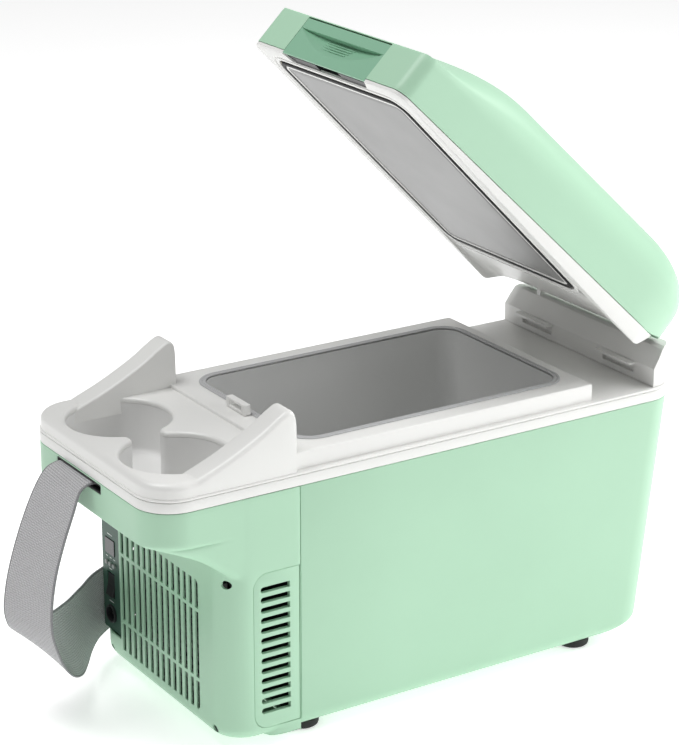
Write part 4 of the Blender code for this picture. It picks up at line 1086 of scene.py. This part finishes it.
def make_marks():
    """Plain dashes beside the keys and the switch; no lettering."""
    face = PANEL_Y + 2.5
    spots = [(x, 99.0, 3.4, 0.7) for x in (-96.0, -89.5, -83.0)]
    spots += [(-90.0, 88.6, 5.0, 0.8), (-90.0, 58.6, 8.0, 0.8), (-90.0, 120.0, 9.0, 0.9)]
    for k, (x, z, width, height) in enumerate(spots):
        loop = rounded(x - width / 2, x + width / 2, z - height / 2, z + height / 2, height * 0.45, 4)
        bar = raw(f"panel_mark_{k + 1}", prism(loop, face - 0.12, face + GAP, "Y"), CABINET)
        finish(bar, MARK, "cabinet", [])


# CAD nodes shown as they are, with a material, and nodes redrawn with a bevel of the given width.
KEPT = {
    # The condenser's black stands partly for a painted coat and partly as painted shade that darkens the
    # grille's slots.
    "insulation_foam": FOAM, "lid_foam": FOAM, "evaporator_plate": ALUMINIUM, "condenser": BLACK_PAINT,
    "bulkhead": BLACK, "compressor": BLACK_PAINT, "compressor_bracket": STEEL, "discharge_pipe": COPPER,
    "suction_pipe": COPPER, "filter_drier": COPPER, "control_board": BOARD_GREEN, "latch_spring": STEEL,
    "latch_pin": STEEL,
}
SOFTENED = {
    "hinge_housing": (WHITE, 0.8), "channel_lip_left": (WHITE, 0.5), "channel_lip_right": (WHITE, 0.5),
    "latch_catch": (WHITE, 0.5), "hinge_pin_left": (STEEL, 0.3), "hinge_pin_right": (STEEL, 0.3),
    "control_panel": (DARK_GREEN, 0.3), "display_window": (GLOSS_BLACK, 0.3), "power_rocker": (BLACK, 0.4),
    "power_inlet": (BLACK, 0.3), "button_set": (KEY_GREY, 0.3), "button_minus": (KEY_GREY, 0.3),
    "button_plus": (KEY_GREY, 0.3), "fan_frame": (BLACK, 0.4), "fan_rotor": (BLACK, 0.2),
    "strap_slot_front": (BLACK, 0.3), "strap_slot_rear": (BLACK, 0.4),
    "casing_screw_left_top": (DARK_STEEL, 0.3), "casing_screw_left_bottom": (DARK_STEEL, 0.3),
    "casing_screw_right_top": (DARK_STEEL, 0.3), "casing_screw_right_bottom": (DARK_STEEL, 0.3),
}


def make_kept():
    for name, look in KEPT.items():
        cad = NODES[name]
        cad.data.materials.clear()
        cad.data.materials.append(look)
    for name, (look, bevel) in SOFTENED.items():
        refined(name, look, bevel)


# --- stage ---------------------------------------------------------------


FLOOR_HALF, FLOOR_GLOW, WORLD_LIGHT = 12.0, 0.52, 0.27
LAMP_AIM = Vector((0, 0, 0.25))
LAMPS = (  # name, place and side in metres, and power in watts
    ("side", (1.4, 1.3, 0.9), 1.0, 11.5),
    ("back", (0.4, 1.8, 1.7), 1.2, 34.0),
    ("front", (-0.4, -0.8, 2.5), 1.2, 33.0),
)
CAMERA_AT, CAMERA_AIM = (1.64709, -0.94413, 0.96132), (-0.7935, 0.5055, -0.3387)
SENSOR, LENS = 36.0, 121.77181  # millimetres


def make_floor():
    made, tree, shader = base("pale_floor", 0.6)
    tinted(tree, shader, (0.93, 0.93, 0.93), 0.004, 2.0)
    shader.inputs["Emission Color"].default_value = (1, 1, 1, 1)
    shader.inputs["Emission Strength"].default_value = FLOOR_GLOW
    bm = bmesh.new()
    bmesh.ops.create_grid(bm, x_segments=4, y_segments=4, size=FLOOR_HALF)
    mesh = written("floor", bm)
    mesh.materials.append(made)
    floor = added("floor", mesh)


def make_light():
    world = bpy.data.worlds.new("studio")
    world.use_nodes = True
    world.node_tree.nodes["Background"].inputs["Color"].default_value = (1, 1, 1, 1)
    world.node_tree.nodes["Background"].inputs["Strength"].default_value = WORLD_LIGHT
    bpy.context.scene.world = world
    bpy.context.scene.view_settings.view_transform = "Standard"
    for name, where, size, power in LAMPS:
        lamp = bpy.data.lights.new(name, "AREA")
        lamp.size = size
        lamp.energy = power
        made = added(name, lamp)
        made.location = where
        made.rotation_euler = (LAMP_AIM - Vector(where)).to_track_quat("-Z", "Y").to_euler()


def make_camera():
    lens = bpy.data.cameras.new("camera")
    lens.lens = LENS
    lens.sensor_width = SENSOR
    lens.sensor_fit = "AUTO"
    lens.clip_end = 40
    made = added("camera", lens)
    x, y, z = CAMERA_AT
    made.location = (x, y + HINGE.y - HINGE_Y * MM, z)
    made.rotation_euler = Vector(CAMERA_AIM).to_track_quat("-Z", "Y").to_euler()
    bpy.context.scene.camera = made


make_camera()
make_floor()
make_light()
make_casing()
make_side_vents()
make_shell()
make_rim()
make_cover()
make_cups()
make_liner()
make_lid_shell()
make_pan()
make_hinge_barrel()
make_slot_shade_block()
make_seal()
make_inner_panel()
make_latch()
make_strap()
make_feet()
make_marks()
make_kept()
